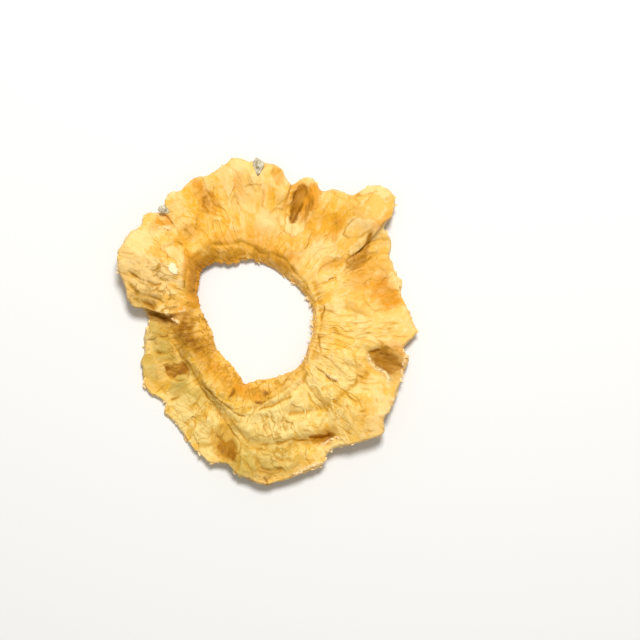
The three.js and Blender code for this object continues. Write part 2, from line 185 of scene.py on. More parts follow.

# Lines of the upper face, drawn as [x, y] points in millimetres from the hole's middle.
drawnLines = {
    # depth, half width, and how dark the line is
    "hair": {"depth": 0.12, "half": 0.26, "dark": 0.75, "paths": [
        [[-38, 19.4], [-36, 19], [-33.4, 18.5]], [[-25.2, 22], [-26, 20.4], [-24.8, 18.8], [-25.2, 17.4]],
        [[-29, 17.4], [-27.3, 16.2], [-27.5, 14.4]], [[-36, 15.6], [-33.6, 14.2], [-31.4, 12.4]],
        [[-34.2, 12.4], [-31, 11.4], [-28, 11]], [[-23.6, 22.2], [-22.2, 21.2], [-21.8, 19.6]],
        [[25, -0.5], [27, -0.2], [28.6, -1.2]], [[33, -2.8], [36, -2.9], [40, -2.7]],
        [[28.4, -2.9], [32, -2.8]], [[19.4, -3.8], [22, -4.2]], [[19, -6.3], [21.2, -6.8]],
        [[26, -7], [27.6, -8.4]], [[20.4, 8.8], [22.4, 9.6]], [[24.4, 11.8], [27, 11.2], [28.8, 10.8]],
        [[36, -0.6], [39.5, -0.4]], [[20, -13], [22.6, -15]], [[33, -21], [33.9, -23.2]],
        [[28, -29.8], [30, -30.6], [33, -30]], [[19.6, -25.4], [18.6, -27.4], [17.4, -30]],
        [[13.4, -19.6], [15.4, -22], [17, -25]], [[12, -31], [14, -30.3], [16.2, -31.4]],
        [[13, -29.4], [15, -29], [17.6, -29.6]], [[22, -22.5], [24.5, -24], [24, -26]],
        [[28.5, -16.8], [31, -17.2], [34, -17]], [[29, -18.6], [32, -19]],
        [[6.8, -26], [5.8, -28.5], [7, -31]], [[3, -27], [2, -30], [3.4, -32]],
        [[10.6, -27], [9.4, -29.4], [11, -31.5]], [[-23, -25], [-20.6, -25.7], [-18.6, -25.2]],
        [[-20, -27], [-17.6, -26.8], [-16, -27.9]], [[-18, -22.4], [-16.4, -24], [-15.4, -25.6]],
        [[-17, -28.7], [-14, -28.3]], [[-21.8, -28.4], [-19.6, -29]], [[-1, -38], [1.6, -38.6], [4, -38.2]],
        [[-4, -37], [-3.4, -39.4], [-2, -41]], [[5, -37.4], [6.4, -39.4], [5.6, -41.6]],
        [[-17.4, 32], [-15, 31], [-13, 29.4], [-11.4, 27.4], [-10.4, 25.4]],
        [[-25, 31.4], [-23.4, 29.4], [-21.4, 27.4]], [[1.4, 37.4], [1.8, 34.4], [1.4, 31.4]],
        [[-19.6, 25.4], [-18.4, 27], [-17, 27.3], [-16, 26]], [[-26, 25.2], [-24.4, 24], [-23.4, 25.4]],
        [[-20, 22.4], [-18.6, 23.8]], [[21.6, 30.4], [22.3, 27], [22, 24.4], [21.8, 21.4]],
        [[29.8, 8.4], [30, 6.4], [31.4, 4.4], [33.4, 3], [35.4, 3.8]],
        [[33, 16.3], [35.4, 14.4], [37, 12.4]], [[28.4, 14.2], [31.4, 13.4], [33.4, 15]],
        [[-28.4, 0.4], [-26, -3], [-23.4, -6.4], [-21.8, -9]],
        [[-25, -1], [-22, -4], [-20, -7.4], [-17.4, -11.4]], [[-22, -2.4], [-19.4, -6], [-16.6, -10.4]],
        [[-16.4, -14.4], [-15, -17.4], [-13, -20.4], [-8.4, -26.4], [-6.4, -29], [-4, -32], [-2, -34.4]],
    ]},
    # brown cracks; a few, such as under the left lobe's edge and along the bottom rim, are painted shadow
    # lines
    "crack": {"depth": 0.28, "half": 0.34, "dark": 1.0, "paths": [
        [[-23.4, -7], [-19.4, -12.4], [-17.8, -14.4], [-16.4, -17.4], [-12.4, -23.4], [-9.2, -28],
         [-7.4, -30.4], [-5.4, -33], [-3.4, -34.8], [-1, -35.6], [1.4, -36], [4, -36.2]],
        [[14.2, -18.4], [16.6, -21], [19.4, -23.8]], [[0, -24.8], [2.6, -24], [5, -23.2], [10.2, -20.8]],
        [[0.6, -23.2], [3, -21.6], [6, -20], [8.6, -18.4], [10.6, -16.4]],
        [[1.6, -21], [4, -19.4], [7, -17.4], [9, -15.4], [11.4, -13.4]],
        [[17.6, -9], [20.6, -11], [23, -13.4], [26.4, -15]],
        [[16, -12.4], [18.6, -14], [20.6, -16.4], [23, -17.2]],
        [[19, -10], [22, -11.4], [25, -12.2], [27.6, -14.4], [30, -15.6], [33, -16]],
        [[24, -10], [26.4, -12], [28.6, -13.6], [31.6, -14.2]], [[26.6, -10.4], [27.8, -12.4], [27.4, -18]],
        [[24.6, -19.4], [26, -21], [28, -22.2], [30.6, -21.6]], [[27, -24], [29.4, -24.8], [30.4, -23.8]],
        [[25.2, -25], [26.8, -27], [26.2, -29.4], [25.2, -31]], [[20.4, -24], [22, -26.4], [21, -28]],
        [[22, -28], [24, -29.4], [26.6, -31.6]], [[32.4, -1.5], [35, -2], [38, -1.6]],
        [[24.4, -4.4], [27.4, -4.8], [31, -4.3]], [[18.4, 5], [18.8, 3.4], [18.2, 2], [18, 0]],
        [[17.2, -3], [17.4, -6], [17.5, -10]], [[-33, 10], [-30, 9], [-27.4, 9.4], [-26, 11.2]],
        [[-34, 8.4], [-31, 8], [-26, 6.8], [-24.4, 5]], [[-32, 6.6], [-29.6, 6], [-28, 4]],
        [[-20, -1], [-18.4, -2.2], [-16, -2.6]], [[-19, 1.6], [-17.4, 0]],
        [[-21, 4.4], [-19.4, 5.4], [-18, 5]], [[-17.5, -5], [-15.5, -7.5], [-14.5, -10]],
        [[-27, -12.4], [-24, -12], [-21.4, -12.4]], [[-26, -13], [-23, -14.2], [-20.4, -14]],
        [[-25.4, -15], [-23, -16.2], [-20, -16.1]], [[-20, -19], [-22, -21], [-25, -22.4]],
        [[-15.4, -18.4], [-13.4, -19.4], [-9.4, -23.2], [-7, -25], [-5, -26.4], [-3, -26]],
        [[0, -34.8], [3, -34.4], [6, -34.2], [8, -33.4], [12, -33.3], [15, -33.6]],
        [[-11.8, -31.4], [-10.4, -33.2], [-8.8, -34.4], [-7, -33.4]],
        [[-6, -33.6], [-6, -36.6], [-6.2, -39.4]], [[0, -41.4], [4, -42.4], [7, -41.4]],
        [[11, 30], [11.4, 34], [12.4, 38]], [[13, 31], [13.8, 35], [14, 39]],
        [[15.4, 32], [15.4, 35], [14.6, 38]], [[8.4, 39.4], [10, 38.4], [11.4, 38]],
        [[27.4, 15.4], [29.4, 16.4], [31.4, 17.4], [32.4, 19]], [[30.4, 20.4], [32.4, 22]],
        [[-14.4, 36], [-15, 33.4], [-14, 31.4], [-12.4, 30.3], [-10.4, 30.2]],
        [[32, -10.4], [34.4, -10.8], [37, -12], [38, -12.4]], [[33.4, -8.4], [36, -9.4], [38, -10.3]],
    ]},
    # the darkening along the folds is painted shade
    "fold": {"depth": 0.55, "half": 0.6, "dark": 0.9, "paths": [
        [[-35.8, 14.8], [-33.4, 12.3], [-30.3, 11.1], [-26.6, 10.2], [-26.3, 11.4]],
        [[-35.8, 11.4], [-34, 9.3], [-31.5, 8.3], [-28.4, 8]], [[-34.9, 7.4], [-31.2, 6.7], [-28, 5.2]],
        [[-27.5, 12.4], [-25.4, 10.6], [-24.6, 8]], [[-1.4, -37.5], [0.2, -39], [-0.6, -40.6]],
        [[0.4, -40.2], [3.1, -41.5], [7.6, -41.1]], [[-3.2, -38.9], [-2.3, -41.5], [-0.5, -43.2]],
        [[4, -37.6], [7, -38.8], [10, -38.4]], [[-29.6, -3], [-26.6, -4], [-24, -3.4]],
        [[-29, -8.4], [-26, -9], [-23.4, -8.2]], [[-28.4, -11.6], [-25, -10.8], [-22, -11]],
        [[-21, 26.4], [-19, 24.6], [-17.6, 22]], [[-24.6, 21.4], [-22.4, 22.4], [-20, 21]],
        [[-14.1, 22.2], [-9.6, 21.8], [-5.1, 22.5], [-1.1, 21.3], [0.7, 19.5], [5.2, 18.9], [7.9, 17.3],
         [9.7, 15.1], [12.8, 11.9], [14.6, 8.3]],
        [[-14.1, 22.2], [-17.2, 18.2], [-19, 16], [-19.9, 12.4], [-20.1, 8.3]],
    ]},
    # open tears, darkened inside with painted shade, and their pale torn lips
    "gash": {"depth": 1.0, "half": 0.5, "dark": 1.0, "paths": [
        [[24.6, 15.8], [26.4, 18.8], [29, 21], [30.4, 23.4], [31, 25.4], [31.8, 26.4]],
        [[14, -32.2], [17, -32.8], [19.6, -32.5], [21.6, -31.8]], [[30.6, -8.5], [33, -8.3], [35, -7.5]],
        # painted shadow under the left lobe's edge
        [[-31, 2.4], [-28, 2], [-25.6, 1], [-23.4, -0.8]],
        [[9.8, 28], [9.7, 31], [10.2, 34.4], [11.4, 37.4]],
    ]},
    "tornLip": {"depth": -0.8, "half": 0.4, "dark": 0, "paths": [
        [[31, -9.4], [31.8, -11.3], [33.4, -12.8], [35.2, -13.6], [36.6, -15], [36.6, -17]],
        [[42.4, -9], [41.3, -10.4], [41, -12.4], [40.3, -14.4]], [[9.4, -43], [13.4, -41.2], [18, -39.2]],
        [[17.4, -35], [19.4, -34], [21, -32.8], [22.4, -32.3], [24.6, -32.6]],
        [[-25.8, 4], [-25, 2], [-24.2, 2.4]], [[-24, 1], [-22.4, 0.2], [-21.4, 0.4]],
        [[19, -14], [21, -15.4], [23, -16.4]], [[-27.4, 26.2], [-25.6, 26.6], [-24, 25.6]],
        [[-21.6, 3], [-20.2, 3.4]],
    ]},
    # soft ridges that catch the light
    "ridge": {"depth": -0.45, "half": 0.8, "dark": 0, "paths": [
        [[-26.6, -1.4], [-23.8, -5.4], [-20.6, -9.6], [-18, -13]],
        [[-15.6, -15.4], [-12.6, -19.6], [-9.4, -24.4]], [[-15.4, -22.6], [-12.4, -26.6], [-10, -30]],
        [[-10.6, -26], [-7, -30.6], [-4, -33.4]], [[1, -36.6], [5, -35.4], [9, -34.4], [13, -34.6]],
        [[-0.6, -25.8], [3, -25], [8, -23.4], [11, -21.4]], [[1.6, -22.6], [6, -21], [9.4, -18.6]],
        [[-10, -34.2], [-8, -35.6], [-6.8, -35]], [[25.4, 15], [28, 15], [30.6, 15.2]],
        [[30, 22.4], [31.6, 20], [34.4, 20.4]], [[-31, 8.6], [-28, 8.2], [-25, 8]],
        [[-35, 9.4], [-31, 9.6], [-28.4, 10.2]], [[3, -43.6], [0, -43], [-3, -42]],
        [[4, -40.6], [8, -40.4], [12, -39.2]],
    ]},
}


def smooth(x):
    t = np.clip(x, 0.0, 1.0)
    return t * t * (3 - 2 * t)


def turnFrom(a, b):
    return (a - b + 180) % 360 - 180  # the shortest way from b to a, in degrees


def chance(i, j, seed):
    # a random number from 0 to 1 that is always the same for a cell and a seed
    s = np.sin(i * 127.1 + j * 311.7 + seed * 74.7) * 43758.5453
    return s - np.floor(s)


def straight(x):
    return x


def noise(u, v, cells, seed, ease=smooth):
    # noise from -1 to 1 that closes on itself after that many cells of u
    i, j = np.floor(u), np.floor(v)
    s, t = ease(u - i), smooth(v - j)

    def at(di, dj):
        return chance((i + di) % cells, j + dj, seed)

    low = at(0, 0) + (at(1, 0) - at(0, 0)) * s
    high = at(0, 1) + (at(1, 1) - at(0, 1)) * s
    return 2 * (low + (high - low) * t) - 1


def cloud(x, y, size, seed, octaves=3):
    # soft patches about that size in millimetres, from about -1 to 1, with finer ones in them
    total = 0
    for k in range(octaves):
        turn = 0.9 * seed + 1.7 * k
        u = (x * math.cos(turn) - y * math.sin(turn)) / size * 2**k
        v = (x * math.sin(turn) + y * math.cos(turn)) / size * 2**k
        total = total + noise(u, v, 8192, seed + k) / 1.7**k
    return total


def cellNet(u, v, cells, seed):
    # a random net of cells: 0 on a border between two, rising to about 1 inside them, and for each
    # cell a value from 0 to 1 and a slope of its own
    i0, j0 = np.floor(u), np.floor(v)
    first = np.full(np.shape(u), 9.0)
    second = first.copy()
    value, slope = np.zeros(np.shape(u)), np.zeros(np.shape(u))
    for di in (-1, 0, 1):
        for dj in (-1, 0, 1):
            i, j = (i0 + di) % cells, j0 + dj
            du, dv = u - i0 - di - chance(i, j, seed), v - j - chance(i, j, seed + 1)
            d = np.hypot(du, dv)
            second = np.minimum(second, np.maximum(first, d))
            value = np.where(d < first, chance(i, j, seed + 2), value)
            ownSlope = du * (chance(i, j, seed + 3) - 0.5) + dv * (chance(i, j, seed + 4) - 0.5)
            slope = np.where(d < first, ownSlope, slope)
            first = np.minimum(first, d)
    return second - first, value, slope


def around(table, angle, column=1):
    # a closed smooth curve through the table's rows
    rows = np.array(table, float)
    n = len(rows)
    a = angle % 360
    k = np.searchsorted(rows[:, 0], a, side="right") - 1

    def row(m):
        wrap = (k + m) // n
        at = k + m - wrap * n
        return rows[at, 0] + wrap * 360, rows[at, column]

    (a0, v0), (a1, v1), (a2, v2), (a3, v3) = row(-1), row(0), row(1), row(2)
    t = (a - a1) / (a2 - a1)
    m1 = (v2 - v0) / (a2 - a0) * (a2 - a1)
    m2 = (v3 - v1) / (a3 - a1) * (a2 - a1)
    values = (2 * t**3 - 3 * t**2 + 1) * v1 + (3 * t**2 - 2 * t**3) * v2
    return values + (t**3 - 2 * t**2 + t) * m1 + (t**3 - t**2) * m2


def ringNoise(a, v, layer):
    return noise(a / 360 * layer["cells"], v, layer["cells"], layer["seed"])


def offset(a, r, spotAngle, spotRadius):
    return np.radians(turnFrom(a, spotAngle)) * r, r - spotRadius


def polarPoint(a, r):
    return r * np.cos(np.radians(a)), r * np.sin(np.radians(a))


def toPolar(x, y):
    return np.degrees(np.arctan2(y, x)) % 360, np.hypot(x, y)


def swellHeight(a, r):
    height, angle = ringShape["saddle"]
    z = height * np.cos(2 * np.radians(a - angle))
    for angle, radius, along, across, rise in ringShape["swells"]:
        s, d = offset(a, r, angle, radius)
        z = z + rise * np.exp(-((s / along) ** 2) - (d / across) ** 2)
    return z


def lapSide(a, r, lap):
    # distance across a lap's line, and how strongly the lap is there
    share = (r - lap["radii"][0]) / (lap["radii"][1] - lap["radii"][0])
    middle = lap["angles"][0] + (lap["angles"][1] - lap["angles"][0]) * np.clip(share, 0, 1)
    s = np.radians(turnFrom(a, middle)) * r
    return s, smooth(share / ringShape["lapGrowth"])


def lapHeight(a, r):
    z = 0
    for lap in ringShape["laps"]:
        s, grown = lapSide(a, r, lap)
        run = lap["run"] * skinRelief["lapRun"]
        z = z + lap["drop"] * (smooth(0.5 + s / (2 * run)) - 0.5) * np.exp(-((s / lap["fade"]) ** 2)) * grown
    return z


def spot(a, r, angle, radius, length, width):
    # a flat-bottomed oval, 1 in its middle
    s, d = offset(a, r, angle, radius)
    q = (2 * s / width) ** 2 + (2 * d / length) ** 2
    return np.exp(-(q**1.3))


def pathDistance(x, y, points):
    # distance from a line of points, negative on its left, how far along it the nearest place is,
    # and the line's whole length
    nearest = np.full(np.shape(x), 999.0)
    along = np.zeros(np.shape(x))
    gone = 0
    for (ax, ay), (bx, by) in zip(points, points[1:]):
        dx, dy = bx - ax, by - ay
        length = math.hypot(dx, dy)
        t = np.clip(((x - ax) * dx + (y - ay) * dy) / length**2, 0, 1)
        d = np.hypot(x - ax - t * dx, y - ay - t * dy)
        closer = d < np.abs(nearest)
        nearest = np.where(closer, np.copysign(d, (x - ax) * dy - (y - ay) * dx), nearest)
        along = np.where(closer, gone + t * length, along)
        gone += length
    return nearest, along, gone


def curved(points):
    # the same line with points between its own, so that it bends softly
    p = np.array([points[0], *points, points[-1]], float)
    soft = []
    for k in range(1, len(p) - 2):
        for t in (0, 0.25, 0.5, 0.75):
            bend = (2 * p[k - 1] - 5 * p[k] + 4 * p[k + 1] - p[k + 2]) * t**2
            bend = bend + (3 * p[k] - p[k - 1] - 3 * p[k + 1] + p[k + 2]) * t**3
            soft.append(p[k] + ((p[k + 1] - p[k - 1]) * t + bend) / 2)
    return [*soft, p[-1]]


def depthInside(x, y, outline):
    # how far inside a closed outline each place is, negative outside it
    within = np.zeros(np.shape(x), bool)
    closed = [*outline, outline[0]]
    for (ax, ay), (bx, by) in zip(closed, closed[1:]):
        if ay != by:
            within ^= ((ay > y) != (by > y)) & (x < ax + (y - ay) * (bx - ax) / (by - ay))
    d = np.abs(pathDistance(x, y, closed)[0])
    return np.where(within, d, -d)


def markHeight(a, r, x, y):
    z = 0
    for depth, half, path in ringShape["creases"]:
        d = pathDistance(x, y, [polarPoint(*point) for point in path])[0]
        z = z - depth * np.exp(-((d / half) ** 2))
    for *place, depth in ringShape["eyes"]:
        z = z - depth * spot(a, r, *place)
    for *place, height in ringShape["lumps"]:
        z = z + skinRelief["lumpShare"] * height * spot(a, r, *place)
    return z


def foldHeight(a, r):
    return sum(fold["height"] * ringNoise(a, r / fold["length"], fold) for fold in ringShape["folds"])


def laid(middle, half):
    # a place that would sink below the resting surface is held up, all but the pressed depth
    pressed = ringShape["pressed"]
    sunk = half - middle
    held = half - pressed * (1 - np.exp(-np.maximum(sunk, 0) / pressed))
    return np.where(sunk > 0, held, middle)


def near(a, angle, reach):
    return np.exp(-((turnFrom(a, angle) / reach) ** 2))


def swirled(x, y):
    # the same place moved a little by soft swirls, so that marks and wrinkles get uneven outlines:
    # x and y, then angle and radius
    sx, sy = x, y
    for reach, size, seed in skinRelief["swirls"]:
        sx = sx + reach * cloud(x, y, size, seed)
        sy = sy + reach * cloud(x, y, size, seed + 2)
    return sx, sy, *toPolar(sx, sy)


def drawn(x, y):
    # height of the drawn lines, and masks of the dark ones and of the torn lips
    wobble, size = skinRelief["wobble"]
    wx = x + wobble * cloud(x, y, size, 95, 2)
    wy = y + wobble * cloud(x, y, size, 96, 2)
    average, vary, patch = skinRelief["lineStrength"]
    strength = np.clip(average + vary * cloud(x, y, patch, 97, 2), 0.2, 1.1)
    margin = 2  # millimetres round a path's points that its line can reach
    z = np.zeros(np.shape(x))
    masks = {"lines": z.copy(), "lips": z.copy()}
    for kind, look in drawnLines.items():
        shown = np.zeros(np.shape(x))
        for path in look["paths"]:
            (left, bottom), (right, top) = np.min(path, 0) - margin, np.max(path, 0) + margin
            close = (wx > left) & (wx < right) & (wy > bottom) & (wy < top)
            d, along, length = pathDistance(wx[close], wy[close], curved(path))
            ends = smooth(np.minimum(along, length - along) / skinRelief["lineEnds"] + 0.15)
            shown[close] = np.maximum(shown[close], ends * np.exp(-(np.abs(d / look["half"]) ** 1.6)))
        shown = shown * strength
        z = z - look["depth"] * shown
        if kind == "tornLip":
            masks["lips"] = shown
        elif look["dark"] > 0:
            masks["lines"] = np.maximum(masks["lines"], shown * look["dark"])
    return z, masks


# Where the flesh is crumpled and mottled, and where thin cracks show: strength elsewhere, then
# [x, y, reach, strength] in millimetres from the hole's middle.
roughPlaces = {
    "crumpled": [0.24, [[-29, 7, 6.5, 1.2], [-27, -6, 6, 0.9], [-20, 27, 7, 0.4], [5, -41, 9, 0.8],
                        [4, -29, 9, 0.3], [-15, -17, 8, 0.3], [24, -25, 8, 0.1], [-8, 20, 7, 0.4],
                        [5, 19, 6, 0.4], [25, 36, 7, 0.3], [28, 18, 5, 0.6], [-17, -30, 7, 0.35],
                        [-27, 15, 3.5, 0.4], [-6, -38, 5, 0.4]]],
    "smooth": [0.1, [[-30, 19, 6, 1.2], [-2, 33, 9, 0.5], [30, 8, 8, 0.3]]],
    "cracked": [0.05, [[24, -25, 9, 0.8], [26, -12, 8, 0.5], [-28, 18, 7, 0.3], [10, -29, 7, 0.4],
                       [-20, -24, 7, 0.2], [-22, 26, 6, 0.3]]],
}


def strengthAt(kind, x, y):
    total, places = roughPlaces[kind]
    for px, py, reach, strength in places:
        total = total + strength * np.exp(-((x - px) ** 2 + (y - py) ** 2) / reach**2)
    return smooth(total)


def crumple(x, y):
    # winding creases, broken into short ones, from 0 to 1
    total = 0
    for size, width, share, seed in skinRelief["crumple"]["layers"]:
        line = smooth(1 - np.abs(cloud(x, y, size, seed, 2)) / width)
        total = np.maximum(total, share * line * smooth(0.45 + 1.2 * cloud(x, y, 1.3 * size, seed + 5, 2)))
    return total


def rayCreases(sx, sy, x, y):
    # creases that run out from the hole, a little aslant, from 0 to 1
    total = 0
    a, r = toPolar(x + 0.45 * (sx - x), y + 0.45 * (sy - y))
    for cells, length, width, share, seed in skinRelief["rays"]["layers"]:
        aslant = 0.8 * cloud(x, y, 11, seed + 1, 2)
        value = noise(a / 360 * cells + aslant, r / length, cells, seed)
        line = smooth(1 - np.abs(value) / width)
        total = np.maximum(total, share * line * smooth(0.35 + 1.3 * cloud(x, y, 5, seed + 2, 2)))
    return total


def fineRelief(a, x, y, swirl, funnel):
    # the height of wrinkles, fibres and grain, and masks of the drawn lines
    sx, sy, sa, sr = swirl
    z, masks = drawn(x, y)
    fibres = skinRelief["fibres"]
    z = z + fibres["height"] * ringNoise(sa, sr / fibres["length"], fibres)
    lineEnd, cellTop = skinRelief["netSteps"]
    for net in skinRelief["nets"]:
        seed = net["seed"]
        gap = cellNet(sa / 360 * net["cells"], sr / net["length"], net["cells"], seed)[0]
        places = sum(share * near(a, angle, reach) for angle, reach, share in net["places"])
        strength = np.clip(net["everywhere"] + places, 0, 1.1) * smooth(0.55 + 0.9 * cloud(x, y, 7, seed + 3))
        line = 1 - smooth(gap / lineEnd)
        z = z + strength * (net["pillow"] * smooth(gap / cellTop) - net["depth"] * line)
        masks["lines"] = np.maximum(masks["lines"], skinRelief["netDark"] * strength * line)
    winding, rays = skinRelief["crumple"], skinRelief["rays"]
    crumpled = np.maximum(strengthAt("crumpled", x, y), winding["inFunnel"] * funnel) * crumple(sx, sy)
    creased = rayCreases(sx, sy, x, y) * (1 - rays["weaker"] * strengthAt("smooth", x, y))
    z = z - winding["depth"] * crumpled
    z = z - rays["depth"] * creased
    dark = np.maximum(winding["dark"] * crumpled, rays["dark"] * creased)
    masks["lines"] = np.maximum(masks["lines"], dark)
    masks["flake"] = 0.5
    for flake in skinRelief["flakes"]:
        cells, seed = flake["cells"], flake["seed"]
        gap, value, slope = cellNet(sa / 360 * cells, sr / flake["length"], cells, seed)
        shown = smooth(0.6 + 0.9 * cloud(x, y, 9, seed + 5))
        z = z + shown * (flake["step"] * (value - 0.5) + flake["slope"] * slope)
        masks["flake"] = masks["flake"] + 0.5 * shown * (value - 0.5)
    torn = skinRelief["tornFibres"]
    tornFibres = torn["height"] * (0.5 - np.abs(ringNoise(sa, sr / torn["length"], torn)))
    z = z + funnel * (tornFibres + skinRelief["roughFunnel"] * cloud(x, y, 3.4, 61, 4))
    grainy = sum(share * near(a, angle, reach) for angle, reach, share in skinRelief["grainPlaces"])
    z = z + skinRelief["lumps"] * cloud(x, y, 6, 85, 2)
    return z + skinRelief["grain"] * (0.5 + grainy) * cloud(x, y, 1.5, 81, 2), masks


def sectionSteps():
    # for each point of the cross-section: which zone it is in, and how far through it
    upper = [(zone, k / skinGrid[zone]) for zone in ("core", "middle", "rim") for k in range(skinGrid[zone])]
    edge = [1 - k / skinGrid["underEdge"] for k in range(1, skinGrid["underEdge"])]
    under = [("middle", 1 - k / skinGrid["under"]) for k in range(skinGrid["under"] + 1)]
    return [*upper, ("rim", 1)], [*(("rim", t) for t in edge), *under, *(("core", t) for t in edge)]


def radii(steps, core, outer, coreReach, rimReach):
    # the radius of every point of the cross-section, one row for each angle
    columns = []
    for zone, t in steps:
        if zone == "core":
            columns.append(core + coreReach * (1 - math.cos(t * math.pi / 2)))
        elif zone == "middle":
            columns.append(core + coreReach + (outer - rimReach - core - coreReach) * t)
        else:
            columns.append(outer - rimReach * (1 - math.sin(t * math.pi / 2)))
    return np.concatenate(columns, 1)


def rounding(distance, reach, bend=2):
    # the fall of a face to an edge: 0 at the edge, rising to 1 at that reach from it
    return (1 - (1 - np.clip(distance / reach, 0, 1)) ** bend) ** (1 / bend)


def lean(a, r):
    # how far each point moves round the ring, in millimetres, so that a lap's high side hangs over
    move = 0
    for lap in ringShape["laps"]:
        s, grown = lapSide(a, r, lap)
        high = math.copysign(1, lap["drop"])
        run = lap["run"] * skinRelief["lapRun"]
        back = s * high  # positive on the high side
        weight = smooth(0.5 + back / (2 * run)) * smooth(1 - back / skinRelief["leanReach"])
        move = move - lap["drop"] * skinRelief["lean"] * weight * grown
    return move


def tear(a, r, core, outer, row):
    # the torn edges: points near an edge move along the radius, differently at each height of the edge
    def zigzag(cells, step, seed):
        return noise(a / 360 * cells, row * step, cells, seed, straight)

    def rough(cells):
        large = zigzag(cells, 0.1, 91)
        return large + 0.6 * zigzag(3 * cells + 31, 0.2, 92) + 0.4 * zigzag(9 * cells, 0.4, 93)

    often = np.clip(0.7 + 0.8 * noise(a / 360 * 23, 0.5, 23, 94), 0.15, 1.5)  # ragged here, calm there
    torn = skinRelief["tear"]
    atRim = smooth(1 - (outer - r) / torn["rim"])
    atCore = smooth(1 - (r - core) / torn["core"]) * (1 + 0.8 * near(a, 100, 40) - 0.5 * near(a, 0, 60))
    return torn["height"] * often * (rough(67) * atRim - rough(41) * atCore)


def blurred(field, passes):
    # a softened copy, closed round the ring
    for _ in range(passes):
        field = (np.roll(field, 1, 0) + 2 * field + np.roll(field, -1, 0)) / 4
        padded = np.pad(field, ((0, 0), (1, 1)), mode="edge")
        field = (padded[:, :-2] + 2 * field + padded[:, 2:]) / 4
    return field


# Where the flesh differs in colour, and where shade or light is painted on it: [angle, radius, reach along
# the ring, reach across it, strength].
skinTints = {
    "gold": [
        [105, 31, 26, 10, 1.0], [60, 35, 12, 9, 0.7], [121, 38.5, 8, 6, 0.9], [40, 44, 2.5, 7, 0.3],
        [23, 36, 8, 5, 0.7], [60, 41, 6, 4, 1.0], [24, 29, 7, 3.5, 0.6], [336, 33, 6, 4, 0.6],
        [222, 21, 20, 5, 0.8], [266, 22, 12, 3.4, 0.8], [100, 20, 22, 4, 0.8],
    ],
    "orange": [
        [112.5, 38.5, 2.2, 6.5, 0.8], [136, 38.5, 4, 2, 0.4], [97, 25, 14, 3.0, 0.4], [60, 31, 4, 6, 0.3],
        [13, 37, 5, 4, 0.95], [24, 33, 6, 7, 0.6], [72, 41, 3, 3, 0.6], [336, 33, 5, 3, 0.35],
        [183, 22, 7, 4.2, 0.6], [213, 19, 10, 4.2, 0.4], [238, 20, 6, 2.6, 0.3], [213, 31, 5, 4, 0.4],
        [320, 38, 6, 4, 0.3], [262, 20, 7, 3.0, 0.8], [80, 20, 12, 2.6, 0.6], [40, 45, 1.6, 5, 0.6],
        [97, 38, 2.4, 5, 0.4], [124, 31, 5, 3.5, 0.35], [345, 40, 6, 6, 0.5], [300, 36, 6, 3, 0.5],
        [50, 34, 1.5, 5, 0.5], [38, 27.5, 1.5, 4, 0.5],
    ],
    # brown eyes, and painted shade: under the left lobe's step (176.5, 169), on the hole's left slope facing
    # away from the light (187, 207) and on its top wall (130, 124)
    "amberAndShade": [
        [176.5, 28, 1.6, 5.0, 0.6], [169, 31.5, 3.6, 2.2, 0.4], [187, 19, 7, 3.2, 0.9],
        [207, 18, 8, 3.2, 0.35], [130, 22.8, 5, 2.4, 0.6], [249, 20.9, 1.0, 1.5, 0.8],
        [270, 22.4, 1.8, 0.9, 0.9], [276.6, 19.1, 0.8, 1.6, 0.7], [184, 20, 2.8, 1.1, 0.8],
        [124, 20.5, 9, 2.4, 0.45],
    ],
    # painted shade in the valleys, under the left lobe and along the bottom rim
    "oliveShade": [
        [226, 26.5, 17, 2.4, 0.35], [258, 33, 13, 3.0, 0.55], [290, 35, 8, 2.4, 0.4], [184, 30, 5, 3, 0.5],
        [180, 29, 4, 3, 0.5], [217, 25, 3, 3, 0.4], [266, 41.5, 9, 3.4, 1.0], [282, 41.5, 7, 3.0, 0.9],
        [189, 27.5, 9, 4, 0.9], [223, 30, 4, 2, 0.3], [236, 26.5, 8, 2, 0.4], [264, 37, 18, 2.6, 0.6],
        [204, 33.5, 5, 4, 0.6], [168, 33, 4, 3, 0.6], [218, 29, 4, 3, 0.5],
    ],
    "pale": [
        [149, 37, 9, 9, 1.0], [147, 27.5, 2.6, 2.2, 0.9], [47, 28, 8, 4, 0.4], [200, 31, 6, 3, 0.5],
        [183, 23.5, 2.4, 1.6, 0.8], [238, 35, 9, 5, 1.1], [318, 30, 10, 6, 0.8], [76, 28, 7, 4, 0.9],
        [144, 25, 4, 3, 0.8], [156, 29, 5, 4, 0.8], [46, 47, 8, 8, 1.2], [283, 30, 8, 2.6, 0.5],
        [250, 28, 5, 2, 0.4], [93, 43, 7, 2.4, 0.5], [100, 36, 1.5, 5, 0.6], [304, 21, 3, 2.4, 0.5],
        [320, 27, 2.5, 2, 0.6], [86, 27, 4, 4, 0.4], [255.4, 22.2, 0.8, 1.8, 0.9],
        [268.6, 20.5, 1.5, 1.3, 0.7], [272, 23.5, 1.4, 0.8, 1.0], [231.8, 21, 1.6, 1.2, 0.7],
        [272, 42, 7, 2, 0.6], [225, 29.5, 5, 2.4, 0.5], [356, 36, 6, 6, 0.3], [303, 30, 18, 9, 0.8],
        # [198, 30.5] is painted light that brightens the shade the left lobe casts below it
        [270, 30, 16, 7, 0.8], [236, 34, 9, 8, 0.8], [230, 38.5, 12, 3, 0.8], [198, 30.5, 7, 4, 1.3],
        [163, 33, 6, 6, 0.7], [222, 25, 14, 1.4, 0.7],
    ],
    "lemon": [
        [300, 31, 30, 12, 1.0], [262, 33, 22, 12, 1.0], [232, 34, 14, 10, 1.0], [198, 30, 10, 6, 0.6],
        [222, 24, 18, 5, 1.0],
    ],
    "knob": [],  # only as a patch, below
}

